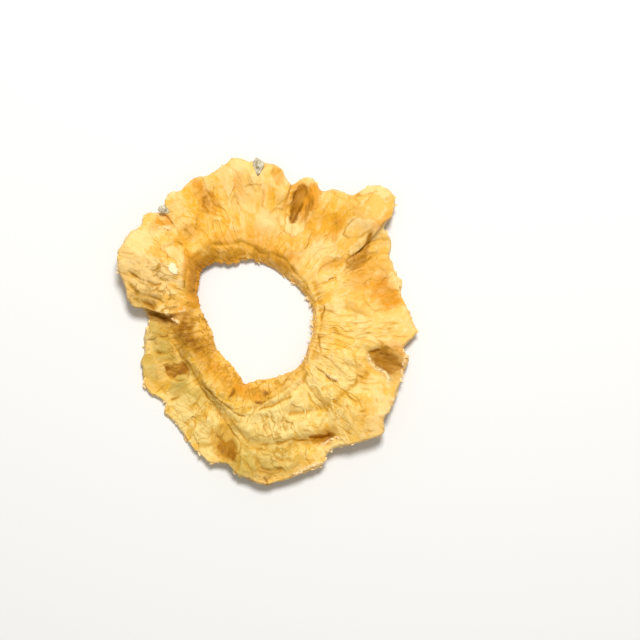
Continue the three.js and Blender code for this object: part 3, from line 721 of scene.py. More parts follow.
# Patches with a clear edge: tint, strength, how softly the edge fades, how deep the patch is sunk,
# and its outline as [x, y] points in millimetres from the hole's middle.
skinPatches = [
    ["orange", 0.85, 1.0, 0.1, [[-13.4, -30.8], [-11, -28.8], [-8, -29.2], [-6.6, -31.6], [-5.8, -34],
                                [-5.8, -40], [-8.4, -39.6], [-11.6, -37.6], [-13, -35]]],
    ["amberAndShade", 1.0, 1.6, 0.2, [[-10.8, -33.4], [-8.6, -34.2], [-7, -32.6], [-6, -33.4], [-5.7, -36.6],
                              [-5.8, -39.6], [-8, -38.8], [-10.4, -37.4], [-11.4, -35.6]]],
    ["amberAndShade", 1.0, 0.9, 0.35, [[9.4, 28.2], [9.3, 31], [9.8, 35], [11.0, 37.6], [12.8, 38.8],
                               [14.2, 37.4], [13.4, 34.6], [12.6, 31.4], [11.8, 29.4], [10.6, 28.2]]],
    ["amberAndShade", 0.7, 1.4, 0.1, [[13.2, 28.6], [13.8, 32], [14.6, 35.6], [15.8, 34.6], [15.4, 31.4],
                              [14, 28.4]]],
    ["orange", 0.9, 1.0, 0.1, [[12.4, 28.4], [13, 33.4], [14.4, 37], [15, 39.4], [17.2, 39.6], [18.4, 37],
                               [17, 33], [14.8, 29.6]]],
    # painted shade in the pit on the right
    ["oliveShade", 0.6, 1.6, 0.1, [[30, -6.8], [36, -6.4], [41, -10], [41, -15.4], [37.6, -17.4],
                              [34.4, -14.6], [30.6, -11]]],
    ["amberAndShade", 0.85, 1.6, 0.3, [[31.8, -8.4], [34, -7.4], [36.8, -7.2], [38.6, -9], [39.8, -11.2],
                               [41, -13], [38.2, -15], [36.8, -15.4], [35.3, -14], [33.5, -12.6],
                               [32, -11.4], [31.2, -9.8]]],
    ["amberAndShade", 1.0, 0.9, 0.3, [[-26.4, -12.6], [-24, -11.6], [-21.4, -11.6], [-19.4, -13], [-19.4, -15.4],
                              [-22, -15.4], [-24.8, -15.8], [-26, -14.6]]],
    ["gold", 0.9, 1.2, 0, [[-28.6, -17], [-26, -16.4], [-23.4, -17.6], [-24, -20.4], [-26.4, -20.8],
                           [-28.8, -19]]],
    ["orange", 0.8, 0.8, 0.1, [[-20.6, 20.2], [-18, 19.8], [-15, 17.4], [-15, 7.4], [-18, 3.4],
                               [-19.8, 4.4], [-20.2, 12]]],
    ["amberAndShade", 0.5, 0.9, 0.1, [[-19.2, 18.6], [-17.4, 17.6], [-17, 12], [-17.2, 7.4], [-18.6, 7],
                              [-19.4, 12]]],
    ["amberAndShade", 0.6, 0.8, 0.2, [[24.4, 15.4], [26.4, 18.2], [28.2, 20.2], [30, 22.6], [31, 25.6],
                              [32, 24.6], [31.2, 21.4], [30.6, 18], [29.6, 15.6], [27, 14.6]]],
    ["amberAndShade", 0.5, 0.7, 0.1, [[33.2, 27.4], [34.6, 29.4], [35.8, 29], [35.4, 27.6]]],
    ["orange", 0.95, 0.8, 0.1, [[33.4, 8.6], [36, 9.2], [39.4, 9], [39.8, 7.2], [38, 6.2], [35.6, 6.6],
                                [33.8, 7.2]]],
    ["amberAndShade", 0.3, 1.0, 0, [[34.4, 13.2], [37, 13.6], [38.4, 12], [36.4, 10.8], [34.4, 11.2]]],
    ["orange", 0.9, 0.6, 0.1, [[-28.8, 28.9], [-25.4, 29], [-22.8, 28.3], [-23.2, 27.3], [-26, 27.6],
                               [-28.6, 27.9]]],
    ["amberAndShade", 0.55, 0.8, 0.1, [[-15.8, 35.2], [-14.4, 35.6], [-13.4, 34], [-14.2, 32.4], [-13.8, 30.8],
                               [-15.2, 30.4], [-16, 32.4]]],
    ["orange", 0.55, 0.6, 0, [[4.2, 43.4], [6.6, 43.6], [6.9, 39], [4.2, 38.4]]],
    ["orange", 0.55, 0.5, 0, [[1, 37.4], [2.1, 37.2], [2.1, 31.8], [1.1, 32]]],
    # painted shade in the cavity of the notch
    ["amberAndShade", 0.9, 0.7, 0.2, [[15, -31.6], [18, -31.2], [21.4, -31], [22, -32.2], [20, -33], [17, -33.6],
                              [14.6, -33.4]]],
    # painted shadow under the left lobe's edge
    ["amberAndShade", 0.6, 1.0, 0.1, [[-30.6, 3.8], [-27, 3.8], [-25.4, 2.6], [-23, 0.6], [-24.8, -0.8],
                              [-28, 0.4], [-30.8, 1.2]]],
    # this patch and the next: painted shade on the hole's top wall
    ["amberAndShade", 0.35, 1.6, 0.1, [[-1, 21.4], [3, 20.4], [7.6, 18.4], [11, 14.6], [9.4, 13.4], [3, 16],
                               [-1, 17]]],
    ["amberAndShade", 0.5, 1.2, 0.1, [[-14.6, 20.6], [-13, 21.6], [-10.4, 20], [-12, 17.4], [-14.4, 17]]],
    ["orange", 0.7, 0.9, 0.1, [[20.4, 30], [22.4, 30.6], [23, 27], [22.4, 23], [21.2, 22], [20.6, 26]]],
    ["knob", 1.0, 0.6, -0.4, [[-24.7, 15], [-23.6, 16.3], [-22.3, 16.1], [-21.6, 14.9], [-22, 13.8],
                              [-23.2, 13.5], [-24.5, 14.1]]],
    ["pale", 0.9, 0.6, -0.25, [[-27.4, 26.6], [-25.6, 27], [-24.4, 25.6], [-25.6, 24.6], [-27, 25.4]]],
    ["pale", 0.8, 0.8, -0.2, [[-20.8, 20.6], [-19.6, 18], [-20, 14], [-21, 13.6], [-21.4, 17.4]]],
    ["pale", 0.8, 0.7, -0.2, [[19, -14], [21.4, -13.8], [23.4, -15.8], [21.4, -16.8], [19.6, -15.8]]],
    ["pale", 0.8, 0.7, -0.2, [[26, -18.4], [28.4, -18.2], [28.6, -19.8], [26.4, -19.6]]],
]


def patchDepths(x, y):
    # for each patch, how far inside its uneven outline each place is, as a share of the soft edge
    wobble, size = skinRelief["patchWobble"]
    sx = x + wobble * cloud(x, y, size, 121, 4)
    sy = y + wobble * cloud(x, y, size, 122, 4)
    return [smooth(0.5 + depthInside(sx, sy, outline) / soft) for _, _, soft, _, outline in skinPatches]


def tintMask(name, a, r, uneven, depths):
    total = 0
    for angle, radius, along, across, strength in skinTints[name]:
        s, d = offset(a, r, angle, radius)
        total = total + strength * smooth(1.5 * np.exp(-((s / along) ** 2) - (d / across) ** 2) - 0.25)
    total = total * uneven
    for (tint, strength, *_), depth in zip(skinPatches, depths):
        if tint == name:
            total = np.maximum(total, strength * depth)
    return np.clip(total, 0, 1)


def sliceMiddle(a, r, share, half):
    # height of the middle layer of the slice, that far out from the core hole to the rim
    frill = ringShape["frill"]
    wave = frill["height"] * share**2 * ringNoise(a, 0, frill)
    return laid(ringShape["lift"] + swellHeight(a, r) + lapHeight(a, r) + wave, half)


def ringSheet(a, r, core, outer, slope, isTop):
    # the upper face or the underside: where its points are, and its masks
    x, y = polarPoint(a, r)
    share = (r - core) / (outer - core)
    half = (ringShape["thickness"] + (ringShape["rimThickness"] - ringShape["thickness"]) * share) / 2
    middle = sliceMiddle(a, r, share, half)
    seam = middle + ringShape["seam"] * half
    folding = foldHeight(a, r)
    swirl = swirled(x, y)
    depths = patchDepths(x, y)
    marks = markHeight(*swirl[2:], x, y) - sum(patch[3] * depth for patch, depth in zip(skinPatches, depths))
    wall = skinRelief["funnel"]
    funnel = smooth(1 + wall["full"] - (r - core) / (slope * wall["reach"]))
    fine, masks = fineRelief(a, x, y, swirl, funnel)
    uneven, clouds = skinRelief["unevenTints"]
    for part, size, seed in clouds:
        uneven = uneven + part * cloud(x, y, size, seed)
    if isTop:
        fall = rounding(r - core, slope, ringShape["coreBend"]) * rounding(outer - r, skinRelief["rimRound"])
        sunk = relief = folding + marks + fine
        z = seam + (middle + half + relief - seam) * fall
    else:
        reach = ringShape["underRound"]
        fall = rounding(r - core, reach) * rounding(outer - r, reach)
        relief = ringShape["underFolds"] * folding + ringShape["underMarks"] * marks
        relief = relief + skinRelief["underFine"] * fine
        sunk = -relief
        z = np.maximum(0, seam + (middle - half + relief - seam) * fall)
        strength, inwards = wall["below"]
        funnel = strength * smooth(1 - (r - core) / inwards)
    tones = skinRelief["paintedDentShade"]
    dents = [(blurred(sunk, passes) - sunk) / depth for passes, depth in tones["dents"]]
    less, *side = wall["weaker"]
    rows = np.arange(r.shape[1])[None, :] + (0 if isTop else 200)
    tornX, tornY = polarPoint(a + np.degrees(lean(a, r) / r), r + tear(a, r, core, outer, rows))
    return {
        # painted shade in dents, and below zero painted highlight on ridges
        "dentShadeRidgeLight": tones["share"] * sum(np.clip(dent, -1, 1) for dent in dents),
        "funnel": funnel * (1 - less * near(a, *side)),
        "edge": 1 - smooth((outer - r) / skinRelief["paleEdge"]),
        "net": strengthAt("cracked", x, y),
        "mottle": np.maximum(strengthAt("crumpled", x, y), wall["mottled"] * funnel),
        **masks,
        **{name: tintMask(name, *swirl[2:], uneven, depths) for name in skinTints},
        "x": tornX,
        "y": tornY,
        "z": z,
    }


def ringSkin():
    # the whole skin as one closed grid: the upper face from the hole outwards, then the underside back
    angles = np.arange(skinGrid["around"])[:, None] * 360 / skinGrid["around"]
    core = around(ringShape["coreEdge"], angles)
    slope = around(ringShape["coreEdge"], angles, 2)
    for bumps, seed, height in skinRelief["unevenLip"]:
        slope = slope + height * noise(angles / 360 * bumps, 0.5, bumps, seed)
    slope = np.maximum(slope, 1)
    ragged = ringShape["ragged"]
    outer = around(ringShape["outerEdge"], angles) + ragged["height"] * ringNoise(angles, 0, ragged)
    upper, under = sectionSteps()
    sheets = []
    for steps, isTop in ((upper, True), (under, False)):
        reaches = (slope, skinRelief["rimRound"]) if isTop else (ringShape["underRound"],) * 2
        r = radii(steps, core, outer, *reaches)
        sheets.append(ringSheet(np.repeat(angles, r.shape[1], 1), r, core, outer, slope, isTop))
    return {key: np.concatenate([sheet[key] for sheet in sheets], 1) for key in sheets[0]}


skin = ringSkin()
print("ring worked out")


def skinNormals(points):
    # the surface's direction at every point of the closed grid
    alongRing = np.roll(points, -1, 0) - np.roll(points, 1, 0)
    acrossRing = np.roll(points, -1, 1) - np.roll(points, 1, 1)
    normals = np.cross(acrossRing, alongRing)
    return normals / np.maximum(np.linalg.norm(normals, axis=-1, keepdims=True), 1e-12)


def placed(name, data):
    # a new object in the scene
    item = bpy.data.objects.new(name, data)
    bpy.context.scene.collection.objects.link(item)
    return item


def addMask(mesh, name, values):
    mask = mesh.attributes.new(name, "FLOAT", "POINT")
    mask.data.foreach_set("value", np.ravel(values).astype(np.float32))


def skinPiece(name, points, normals, rows, columns):
    # a patch of the closed grid as an object of its own
    n, m = skin["x"].shape
    pick = np.ix_(rows % n, columns % m)
    height, width = len(rows), len(columns)
    i, j = np.meshgrid(np.arange(height - 1), np.arange(width - 1), indexing="ij")
    corner = i * width + j
    quads = np.stack([corner, corner + 1, corner + width + 1, corner + width], -1).reshape(-1, 4)
    mesh = bpy.data.meshes.new(name)
    mesh.vertices.add(height * width)
    mesh.vertices.foreach_set("co", points[pick].ravel())
    mesh.loops.add(quads.size)
    mesh.loops.foreach_set("vertex_index", quads.ravel())
    mesh.polygons.add(len(quads))
    mesh.polygons.foreach_set("loop_start", np.arange(len(quads)) * 4)
    mesh.polygons.foreach_set("use_smooth", np.ones(len(quads), bool))
    mesh.update(calc_edges=True)
    for key in skin:
        if key not in ("x", "y", "z"):
            addMask(mesh, key, skin[key][pick])
    mesh.normals_split_custom_set_from_vertices(normals[pick].reshape(-1, 3))
    return placed(name, mesh)


def skinPieces(points):
    normals = skinNormals(points)
    n, m = skin["x"].shape
    topColumns, underColumns = np.arange(upperCount), np.arange(upperCount - 1, m + 1)
    return [
        skinPiece("upperFaceNorth", points, normals, np.arange(0, n // 2 + 1), topColumns),
        skinPiece("upperFaceSouth", points, normals, np.arange(n // 2, n + 1), topColumns),
        skinPiece("underside", points, normals, np.arange(n + 1), underColumns),
    ]


# Colours of the flesh and of the shade and highlights painted on it, linear, and how its surface takes the
# light.
fleshLook = {
    "flesh": (0.93, 0.555, 0.125),
    "gold": (0.89, 0.445, 0.034),
    "cream": (0.97, 0.685, 0.29),
    "torn": (0.97, 0.78, 0.46),
    "orange": (0.76, 0.30, 0.014),
    # the brown of the eyes, also used for painted shade
    "amberAndShade": (0.47, 0.192, 0.008),
    "brown": (0.30, 0.118, 0.007),
    "mottle": (0.72, 0.37, 0.032),
    # painted shade
    "oliveShade": (0.56, 0.355, 0.075),
    # brown of the cracks, also used for the painted shade in dents
    "crackAndShadeBrown": (0.60, 0.30, 0.020),
    "lemon": (0.98, 1.06, 0.98),  # this one is multiplied in
    "knob": (0.98, 0.84, 0.52),
    "roughness": (0.42, 0.68),  # of the wet looking and the dry places
    "specular": 0.1,
    "bump": (0.5, 0.00035),  # strength, and height in metres
    # fibres are drawn out along the radius: their fineness round the ring and along the radius
    "fibreFineness": (0.035, 0.22),
    # what is scattered over the flesh: cells to a metre, detail, roughness, distortion
    "alongFibres": {
        "fibres": (1100, 3, 0.6, 0.3),
        "streaks": (330, 3, 0.6, 0.6),
        "paleStreaks": (260, 2, 0.5, 0.3),
    },
    "allWays": {
        "blotches": (170, 4, 0.6, 0.6),
        "speckle": (1500, 3, 0.6, 0),
        "scraps": (620, 3, 0.6, 1),
        "flecks": (520, 4, 0.62, 0.8),
        "mottles": (420, 5, 0.68, 0.6),
        "tornDark": (430, 5, 0.7, 0.8),
    },
    # nets of thin cracks: cells to a metre, how far they bend in metres, shift, width
    "cracks": [(250, 0.0034, 1, 0.05), (520, 0.0016, 2, 0.07)],
}


class NodeTools:
    # a new material, with short ways to add and join its nodes
    def __init__(self, name):
        self.material = bpy.data.materials.new(name)
        self.material.use_nodes = True
        self.tree = self.material.node_tree
        self.shader = self.tree.nodes["Principled BSDF"]
        self.place = self.add("TexCoord").outputs["Object"]

    def wire(self, value, socket):
        if isinstance(value, bpy.types.NodeSocket):
            self.tree.links.new(value, socket)
        else:
            socket.default_value = value

    def add(self, kind, *values, **settings):
        # a node with its first sockets and its settings filled in
        node = self.tree.nodes.new("ShaderNode" + kind)
        for name, setting in settings.items():
            setattr(node, name, setting)
        for value, socket in zip(values, node.inputs):
            self.wire(value, socket)
        return node

    def maths(self, kind, *values, clamp=False):
        return self.add("Math", *values, operation=kind, use_clamp=clamp).outputs[0]

    def times(self, *values, clamp=False):
        return self.maths("MULTIPLY", *values, clamp=clamp)

    def vectors(self, kind, *values):
        node = self.add("VectorMath", *values, operation=kind)
        return node.outputs["Value" if kind == "LENGTH" else "Vector"]

    def mixed(self, first, second, share, kind="MIX"):
        node = self.add("Mix", share, data_type="RGBA", blend_type=kind)
        for value, socket in ((first, node.inputs[6]), (second, node.inputs[7])):
            self.wire((*value, 1) if isinstance(value, tuple) else value, socket)
        return node.outputs[2]

    def mask(self, name):
        return self.add("Attribute", attribute_name=name).outputs["Fac"]

    def ramp(self, value, low, high, toLow=0.0, toHigh=1.0):
        node = self.add("MapRange", value, low, high, toLow, toHigh, interpolation_type="SMOOTHSTEP")
        return node.outputs[0]

    def cloudy(self, space, scale, detail, roughness, distortion=0):
        node = self.add("TexNoise", space)
        values = {"Scale": scale, "Detail": detail, "Roughness": roughness, "Distortion": distortion}
        for name, value in values.items():
            node.inputs[name].default_value = value
        return node

    def bump(self, height, strength, distance):
        node = self.add("Bump")
        node.inputs["Strength"].default_value = strength
        node.inputs["Distance"].default_value = distance
        self.wire(height, node.inputs["Height"])
        self.wire(node.outputs[0], self.shader.inputs["Normal"])


def fibreSpace(tools):
    # the place seen from the middle of the hole: round the ring it is cut fine, along the radius coarse
    fine, coarse = fleshLook["fibreFineness"]
    fromHole = tools.vectors("ADD", tools.place, (planMiddle[0] * mm, planMiddle[1] * mm, 0))
    flat = tools.vectors("MULTIPLY", fromHole, (1, 1, 0))
    direction = tools.vectors("MULTIPLY", tools.vectors("NORMALIZE", flat), (fine, fine, 0))
    reach = tools.add("CombineXYZ", 0, 0, tools.times(tools.vectors("LENGTH", flat), coarse)).outputs[0]
    return tools.vectors("ADD", direction, reach)


def crackLines(tools, scale, bend, shift, width):
    # thin broken lines between the cells of a bent net
    moved = tools.vectors("ADD", tools.place, (0.37 * shift, 0.11 * shift, 0))
    swirls = tools.cloudy(moved, 1.3 * scale, 2, 0.5).outputs["Color"]
    bent = tools.vectors("MULTIPLY", swirls, (bend, bend, bend))
    cells = tools.add("TexVoronoi", tools.vectors("ADD", moved, bent), feature="DISTANCE_TO_EDGE")
    cells.inputs["Scale"].default_value = scale
    broken = tools.ramp(tools.cloudy(moved, 0.9 * scale, 2, 0.55).outputs["Fac"], 0.44, 0.58)
    return tools.times(tools.ramp(cells.outputs["Distance"], 0, width, 1, 0), broken)


def fleshColor(tools, scattered, ridge, crackNet, mottled):
    # the flesh's colour, laid on in coats, with painted shade and highlights among them
    maths, times, mixed, mask, ramp = tools.maths, tools.times, tools.mixed, tools.mask, tools.ramp
    look, streaks, blotches = fleshLook, scattered["streaks"], scattered["blotches"]
    golden, funnel, amberAndShade, oliveShade, lines = map(mask, ("gold", "funnel", "amberAndShade", "oliveShade", "lines"))
    ripe = maths("ADD", golden, 0.35)
    gold = maths("ADD", times(golden, 0.75), times(ripe, ramp(streaks, 0.45, 0.62, -0.4, 0.6)))
    plain = maths("SUBTRACT", 1.0, times(golden, 0.5))
    funnelGold = times(times(funnel, ramp(blotches, 0.3, 0.6, 0.5, 1.0)), 0.7)
    mottleBrown = mixed(look["mottle"], look["brown"], ramp(mask("mottle"), 0.4, 1.0, 0, 0.65))
    lineBrown = mixed(look["crackAndShadeBrown"], look["brown"], ramp(lines, 0.6, 1.0, 0, 0.7))
    deep = times(ramp(streaks, 0.42, 0.6, 0.25, 1), ramp(amberAndShade, 0.3, 1.0, 0.3, 1))
    # painted shade in the dents, weaker where the greenish painted shade lies
    sunk = times(ramp(mask("dentShadeRidgeLight"), 0.12, 0.95), maths("SUBTRACT", 1.0, times(oliveShade, 0.6)))
    tornEdge = times(mask("edge"), ramp(scattered["speckle"], 0.45, 0.6, 0, 0.6))
    coats = [
        ("gold", maths("MAXIMUM", gold, 0.0, clamp=True)),
        ("cream", times(plain, ramp(blotches, 0.48, 0.64, 0, 0.6))),
        ("cream", ramp(scattered["paleStreaks"], 0.52, 0.66, 0, 0.5)),  # along the fibres
        ("gold", times(ripe, ramp(scattered["fibres"], 0.52, 0.72, 0, 0.6), clamp=True)),
        ("cream", times(mask("pale"), 0.65)),
        ("cream", ramp(mask("flake"), 0.58, 0.68, 0, 0.5)),  # high flakes, then low ones
        ("gold", ramp(mask("flake"), 0.42, 0.32, 0, 0.6)),
        # painted highlight on the ridges
        ("cream", times(ridge, 0.5)),
        ("gold", funnelGold),  # the slope to the core hole, with pale scraps on it
        ("cream", times(funnel, ramp(scattered["scraps"], 0.54, 0.64, 0, 0.6))),
        ("cream", times(ramp(scattered["flecks"], 0.53, 0.6, 0, 0.6), plain)),
        ("orange", times(mask("orange"), ramp(streaks, 0.3, 0.65, 0.7, 1.0))),
        ("amberAndShade", times(ramp(scattered["tornDark"], 0.5, 0.59, 0, 0.85), funnel)),  # between torn fibres
        (mottleBrown, mottled),
        # painted shade, greenish
        ("oliveShade", times(oliveShade, 0.75)),
        ("lemon", mask("lemon"), "MULTIPLY"),
        # painted shade in the dents
        ("crackAndShadeBrown", times(sunk, 0.85)),
        # dark lines: brown cracks, with painted shade along the folds and in the tears
        (lineBrown, times(lines, ramp(blotches, 0.35, 0.6, 0.7, 1.0))),
        # brown eyes, and painted shade under the lobe and on the hole's walls
        (mixed(look["amberAndShade"], look["brown"], deep), times(amberAndShade, ramp(streaks, 0.36, 0.56, 0.82, 1.0))),
        ("crackAndShadeBrown", times(crackNet, 0.55)),
        # dry torn edges, and the knob on the left lobe
        ("torn", times(maths("ADD", mask("lips"), tornEdge, clamp=True), 0.8)),
        ("knob", mask("knob")),
    ]
    color = look["flesh"]
    for tint, share, *kind in coats:
        color = mixed(color, look[tint] if isinstance(tint, str) else tint, share, *kind)
    return color


def fleshMaterial():
    tools = NodeTools("driedPineappleFlesh")
    maths, times, mask, ramp = tools.maths, tools.times, tools.mask, tools.ramp
    look = fleshLook
    scattered = {}
    for space, group in ((fibreSpace(tools), "alongFibres"), (tools.place, "allWays")):
        for name, values in look[group].items():
            scattered[name] = tools.cloudy(space, *values).outputs["Fac"]
    crackNet = maths("MAXIMUM", *(crackLines(tools, *net) for net in look["cracks"]))
    crackNet = times(crackNet, mask("net"))
    # painted highlight on ridges, which are also drier
    ridge = ramp(mask("dentShadeRidgeLight"), -0.1, -0.8)
    mottled = times(ramp(scattered["mottles"], 0.48, 0.64, 0, 0.9), mask("mottle"))
    tools.wire(fleshColor(tools, scattered, ridge, crackNet, mottled), tools.shader.inputs["Base Color"])
    dry = maths("ADD", ramp(scattered["blotches"], 0.35, 0.65, 0, 0.6), times(ridge, 0.4), clamp=True)
    dry = maths("SUBTRACT", dry, times(mask("amberAndShade"), 0.7), clamp=True)
    tools.wire(ramp(dry, 0, 1, *look["roughness"]), tools.shader.inputs["Roughness"])
    tools.shader.inputs["Specular IOR Level"].default_value = look["specular"]
    grain = maths("ADD", times(scattered["fibres"], 0.6), times(scattered["speckle"], 0.4))
    grain = maths("SUBTRACT", grain, times(crackNet, 0.3))
    tools.bump(maths("SUBTRACT", grain, times(mottled, 0.5)), *look["bump"])
    return tools.material


# Shreds that stand out from the torn edges. Lengths and widths in millimetres, as (least, most);
# spread and tilt in radians; rows of the grid from the edge in which they start; reach in degrees
# from the right, where most shreds of the hole are.
shredLook = {
    "rim": {"count": 60, "length": (0.6, 1.3), "width": (0.6, 1.6), "spread": 0.9, "tilt": (-0.25, 0.15),
            "pale": (0.4, 1), "rows": 9},
    "hole": {"count": 34, "length": (0.5, 1.6), "width": (0.3, 0.7), "spread": 1.1, "tilt": (-0.25, 0.15),
             "pale": (0.3, 1), "rows": 5, "reach": 40},
    "lips": {"count": 110, "length": (0.4, 1.2), "width": (0.3, 0.9), "spread": 3.1, "tilt": (0.1, 0.9),
             "pale": (0.4, 1)},
    "curl": (-0.4, 0.4),
    "sunk": 0.35,  # how far each one starts inside the flesh
    "thickness": 0.13,
    "steps": 5,
    "seed": 7,
}


def shredPoints(base, heading, tilt, curl, length, width):
    # a thin tapering strip that starts at a point and curls up or down towards its tip
    steps = shredLook["steps"]
    ahead = np.array([math.cos(heading) * math.cos(tilt), math.sin(heading) * math.cos(tilt), math.sin(tilt)])
    side = np.array([-math.sin(heading), math.cos(heading), 0])
    up = np.cross(ahead, side)
    points = []
    for k in range(steps + 1):
        t = k / steps
        middle = base + ahead * length * t + up * curl * length * t * t
        across = side * width / 2 * (1 - 0.85 * t**1.5)
        thick = up * shredLook["thickness"] / 2 * (1 - 0.6 * t)
        points += [middle + s * across + u * thick for s, u in ((-1, -1), (1, -1), (1, 1), (-1, 1))]
    return points


def tornShreds(points):
    # the strips round the rim, round the hole and on the torn lips of the upper face
    random = np.random.default_rng(shredLook["seed"])
    n = len(points)
    top = points[:, :upperCount] / mm
    starts = []
    rim, hole, lips = shredLook["rim"], shredLook["hole"], shredLook["lips"]
    for _ in range(rim["count"]):
        i, j = random.integers(n), upperCount - 1 - random.integers(rim["rows"])
        starts.append(("rim", top[i, j], math.radians(i * 360 / n)))
    for _ in range(hole["count"]):
        i, j = int(random.normal(0, n * hole["reach"] / 360)) % n, random.integers(hole["rows"])
        starts.append(("hole", top[i, j], math.radians(i * 360 / n) + math.pi))
    steps = [pair for path in drawnLines["tornLip"]["paths"] for pair in zip(path, path[1:])]
    lengths = np.array([math.dist(*pair) for pair in steps])
    for _ in range(lips["count"]):
        first, second = steps[random.choice(len(steps), p=lengths / lengths.sum())]
        x, y = np.array(first) + (np.array(second) - first) * random.random() - planMiddle
        i, j = np.unravel_index(np.argmin((top[..., 0] - x) ** 2 + (top[..., 1] - y) ** 2), top.shape[:2])
        starts.append(("lips", top[i, j], random.random() * math.tau))
    corners, faces, paleness = [], [], []
    for kind, base, heading in starts:
        look = shredLook[kind]
        heading = heading + (random.random() - 0.5) * 2 * look["spread"]
        tilt = random.uniform(*look["tilt"])
        length, width = random.uniform(*look["length"]), random.uniform(*look["width"])
        back = np.array([math.cos(heading), math.sin(heading), 0]) * shredLook["sunk"]
        first = len(corners)
        curl = random.uniform(*shredLook["curl"])
        corners += shredPoints(base - back, heading, tilt, curl, length, width)
        paleness += [random.uniform(*look["pale"])] * (len(corners) - first)
        for k in range(shredLook["steps"]):
            for side in range(4):
                low, high = first + 4 * k + side, first + 4 * k + (side + 1) % 4
                faces.append((low, high, high + 4, low + 4))
        faces.append((first + 3, first + 2, first + 1, first))
        faces.append(tuple(len(corners) - 4 + side for side in range(4)))
    mesh = bpy.data.meshes.new("tornShreds")
    mesh.from_pydata((np.maximum(corners, (-99, -99, 0)) * mm).tolist(), [], faces)
    addMask(mesh, "lips", paleness)
    addMask(mesh, "flake", [0.5] * len(corners))  # neither pale nor golden
    return placed("tornShreds", mesh)


# Bits of seed case that stick to the rim: [x, y] outlines in millimetres from the hole's middle.
huskLook = {
    "outlines": [
        [[-0.3, 46.0], [1.0, 45.4], [2.1, 44.3], [1.4, 42.6], [0.3, 40.9], [-0.5, 42.4], [-1.2, 44.2]],
        [[-27.7, 31.4], [-27.2, 32.4], [-26.0, 32.6], [-24.9, 31.8], [-24.5, 30.6], [-25.6, 30.4],
         [-27.0, 30.6]],
    ],
    "rings": 9,
    "steps": 42,
    "bulge": 0.35,
    "thickness": 0.4,
    "crumple": (0.3, 1.1),  # height and size
    "restsOn": 400,  # points of the flesh nearest to it, that it lies on
    "above": 0.05,  # how far the edge stands over the flesh
    "specks": (1000, 3, 0.7),  # cells to a metre, detail, roughness
    "tones": [(0.34, (0.25, 0.20, 0.09)), (0.45, (0.53, 0.47, 0.32)), (0.58, (0.74, 0.67, 0.50))],
    "roughness": 0.75,
    "bump": (0.6, 0.0003),  # strength, and height in metres
}


def seedHusks(points):
    # crumpled little shells: a bulging upper sheet and a flatter one under it, closed at the edge
    top = points[:, :upperCount].reshape(-1, 3) / mm
    rings, steps = huskLook["rings"], huskLook["steps"]
    corners, faces = [], []
    for outline in huskLook["outlines"]:
        edge = np.array(curved([*outline, outline[0]]))
        gone = np.linspace(0, len(edge) - 1, steps, endpoint=False)
        edge = np.stack([np.interp(gone, np.arange(len(edge)), edge[:, k]) for k in (0, 1)], -1) - planMiddle
        middle = edge.mean(0)
        spots = (top[:, 0] - middle[0]) ** 2 + (top[:, 1] - middle[1]) ** 2
        base = top[np.argsort(spots)[: huskLook["restsOn"]], 2].max() + huskLook["above"]
        height, size = huskLook["crumple"]
        first = len(corners)
        for side in (1, -1):
            for k in range(rings if side > 0 else rings - 1):
                share = k / (rings - 1) if side > 0 else 1 - (k + 1) / (rings - 1)
                x, y = (middle + (edge - middle) * max(share, 0.02)).T
                bulge = huskLook["bulge"] * (1 - share**2) - (0 if side > 0 else huskLook["thickness"])
                z = base + bulge + height * cloud(x, y, size, 131, 3)
                corners += np.stack([x, y, z], -1).tolist()
        count = 2 * rings - 1
        for k in range(count - 1):
            for j in range(steps):
                low, high = first + k * steps, first + (k + 1) * steps
                faces.append((low + j, high + j, high + (j + 1) % steps, low + (j + 1) % steps))
        faces.append(tuple(first + j for j in range(steps)))
        faces.append(tuple(first + (count - 1) * steps + j for j in reversed(range(steps))))
    mesh = bpy.data.meshes.new("seedHusks")
    mesh.from_pydata((np.array(corners) * mm).tolist(), [], faces)
    mesh.polygons.foreach_set("use_smooth", np.ones(len(faces), bool))
    return placed("seedHusks", mesh)


def huskMaterial():
    tools = NodeTools("drySeedCase")
    specks = tools.cloudy(tools.place, *huskLook["specks"]).outputs["Fac"]
    node = tools.add("ValToRGB", specks)
    (low, dark), (middle, grey), (high, pale) = huskLook["tones"]
    first, last = node.color_ramp.elements
    first.position, first.color = low, (*dark, 1)
    last.position, last.color = high, (*pale, 1)
    node.color_ramp.elements.new(middle).color = (*grey, 1)
    tools.wire(node.outputs["Color"], tools.shader.inputs["Base Color"])
    tools.shader.inputs["Roughness"].default_value = huskLook["roughness"]
    tools.bump(specks, *huskLook["bump"])
    return tools.material


flesh = fleshMaterial()
skinPoints = np.stack([skin["x"] - planMiddle[0], skin["y"] - planMiddle[1], skin["z"]], -1) * mm
husks = seedHusks(skinPoints)
husks.data.materials.append(huskMaterial())
fleshPieces = [*skinPieces(skinPoints), tornShreds(skinPoints)]
for piece in fleshPieces:
    piece.data.materials.append(flesh)
for piece in [*fleshPieces, husks]:
    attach(piece, "root")
    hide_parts("pineapple_ring")
print("ring made")

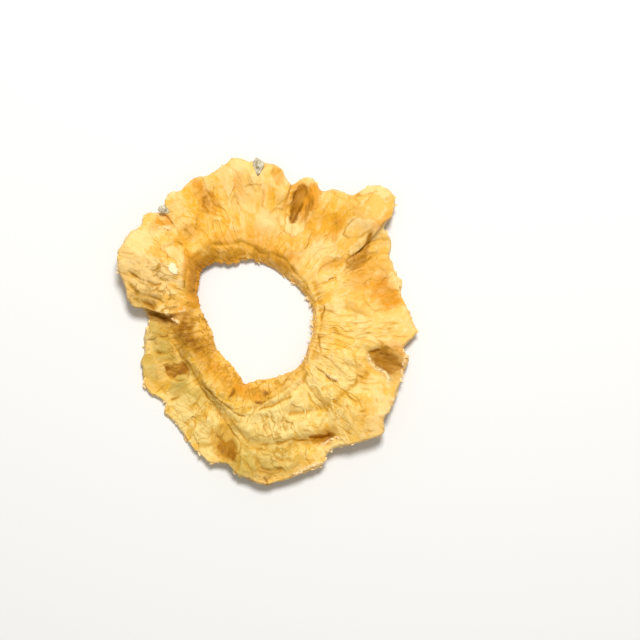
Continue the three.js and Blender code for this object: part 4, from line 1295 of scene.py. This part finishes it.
# Floor, light and camera.
studio = {
    "floorColor": (0.86, 0.86, 0.85, 1),
    "floorSize": 3.0,
    "floorRoughness": 0.9,
    "skyColor": (1.0, 0.965, 0.89, 1),
    "skyStrength": 0.38,
    "keyFrom": (0.07, 0.32, 0.72),
    "keySize": 0.2,
    "keyPower": 5.5,
    "pixel": 0.28,  # millimetres that a pixel of the photograph shows at the ring
    "photoPixels": 640,  # its width
    "photoMiddle": (63, 2),  # its middle, in pixels from the middle of the hole
    "lens": 100,
    "sensor": 36,
    "ringMiddleHeight": 0.006,
}


def makeFloor():
    half = studio["floorSize"] / 2
    mesh = bpy.data.meshes.new("floor")
    corners = [(-half, -half, 0), (half, -half, 0), (half, half, 0), (-half, half, 0)]
    mesh.from_pydata(corners, [], [(0, 1, 2, 3)])
    material = bpy.data.materials.new("paleFloor")
    material.use_nodes = True
    shader = material.node_tree.nodes["Principled BSDF"]
    shader.inputs["Base Color"].default_value = studio["floorColor"]
    shader.inputs["Roughness"].default_value = studio["floorRoughness"]
    mesh.materials.append(material)
    placed("floor", mesh)


def makeLight():
    world = bpy.data.worlds.new("studioSky")
    world.use_nodes = True
    sky = world.node_tree.nodes["Background"]
    sky.inputs["Color"].default_value = studio["skyColor"]
    sky.inputs["Strength"].default_value = studio["skyStrength"]
    bpy.context.scene.world = world
    lamp = bpy.data.lights.new("keyLight", "AREA")
    lamp.shape = "DISK"
    lamp.size = studio["keySize"]
    lamp.energy = studio["keyPower"]
    key = placed("keyLight", lamp)
    key.location = studio["keyFrom"]
    key.rotation_euler = (-Vector(studio["keyFrom"])).to_track_quat("-Z", "Y").to_euler()


def makeCamera():
    data = bpy.data.cameras.new("camera")
    data.lens = studio["lens"]
    data.sensor_width = studio["sensor"]
    photoWidth = studio["photoPixels"] * studio["pixel"] * mm
    distance = photoWidth * studio["lens"] / data.sensor_width
    x, y = ((px * studio["pixel"] - middle) * mm for px, middle in zip(studio["photoMiddle"], planMiddle))
    camera = placed("camera", data)
    camera.location = (x, y, studio["ringMiddleHeight"] + distance)
    bpy.context.scene.camera = camera


makeFloor()
makeLight()
makeCamera()
bpy.context.scene.view_settings.view_transform = "Standard"
print("floor, light and camera made")
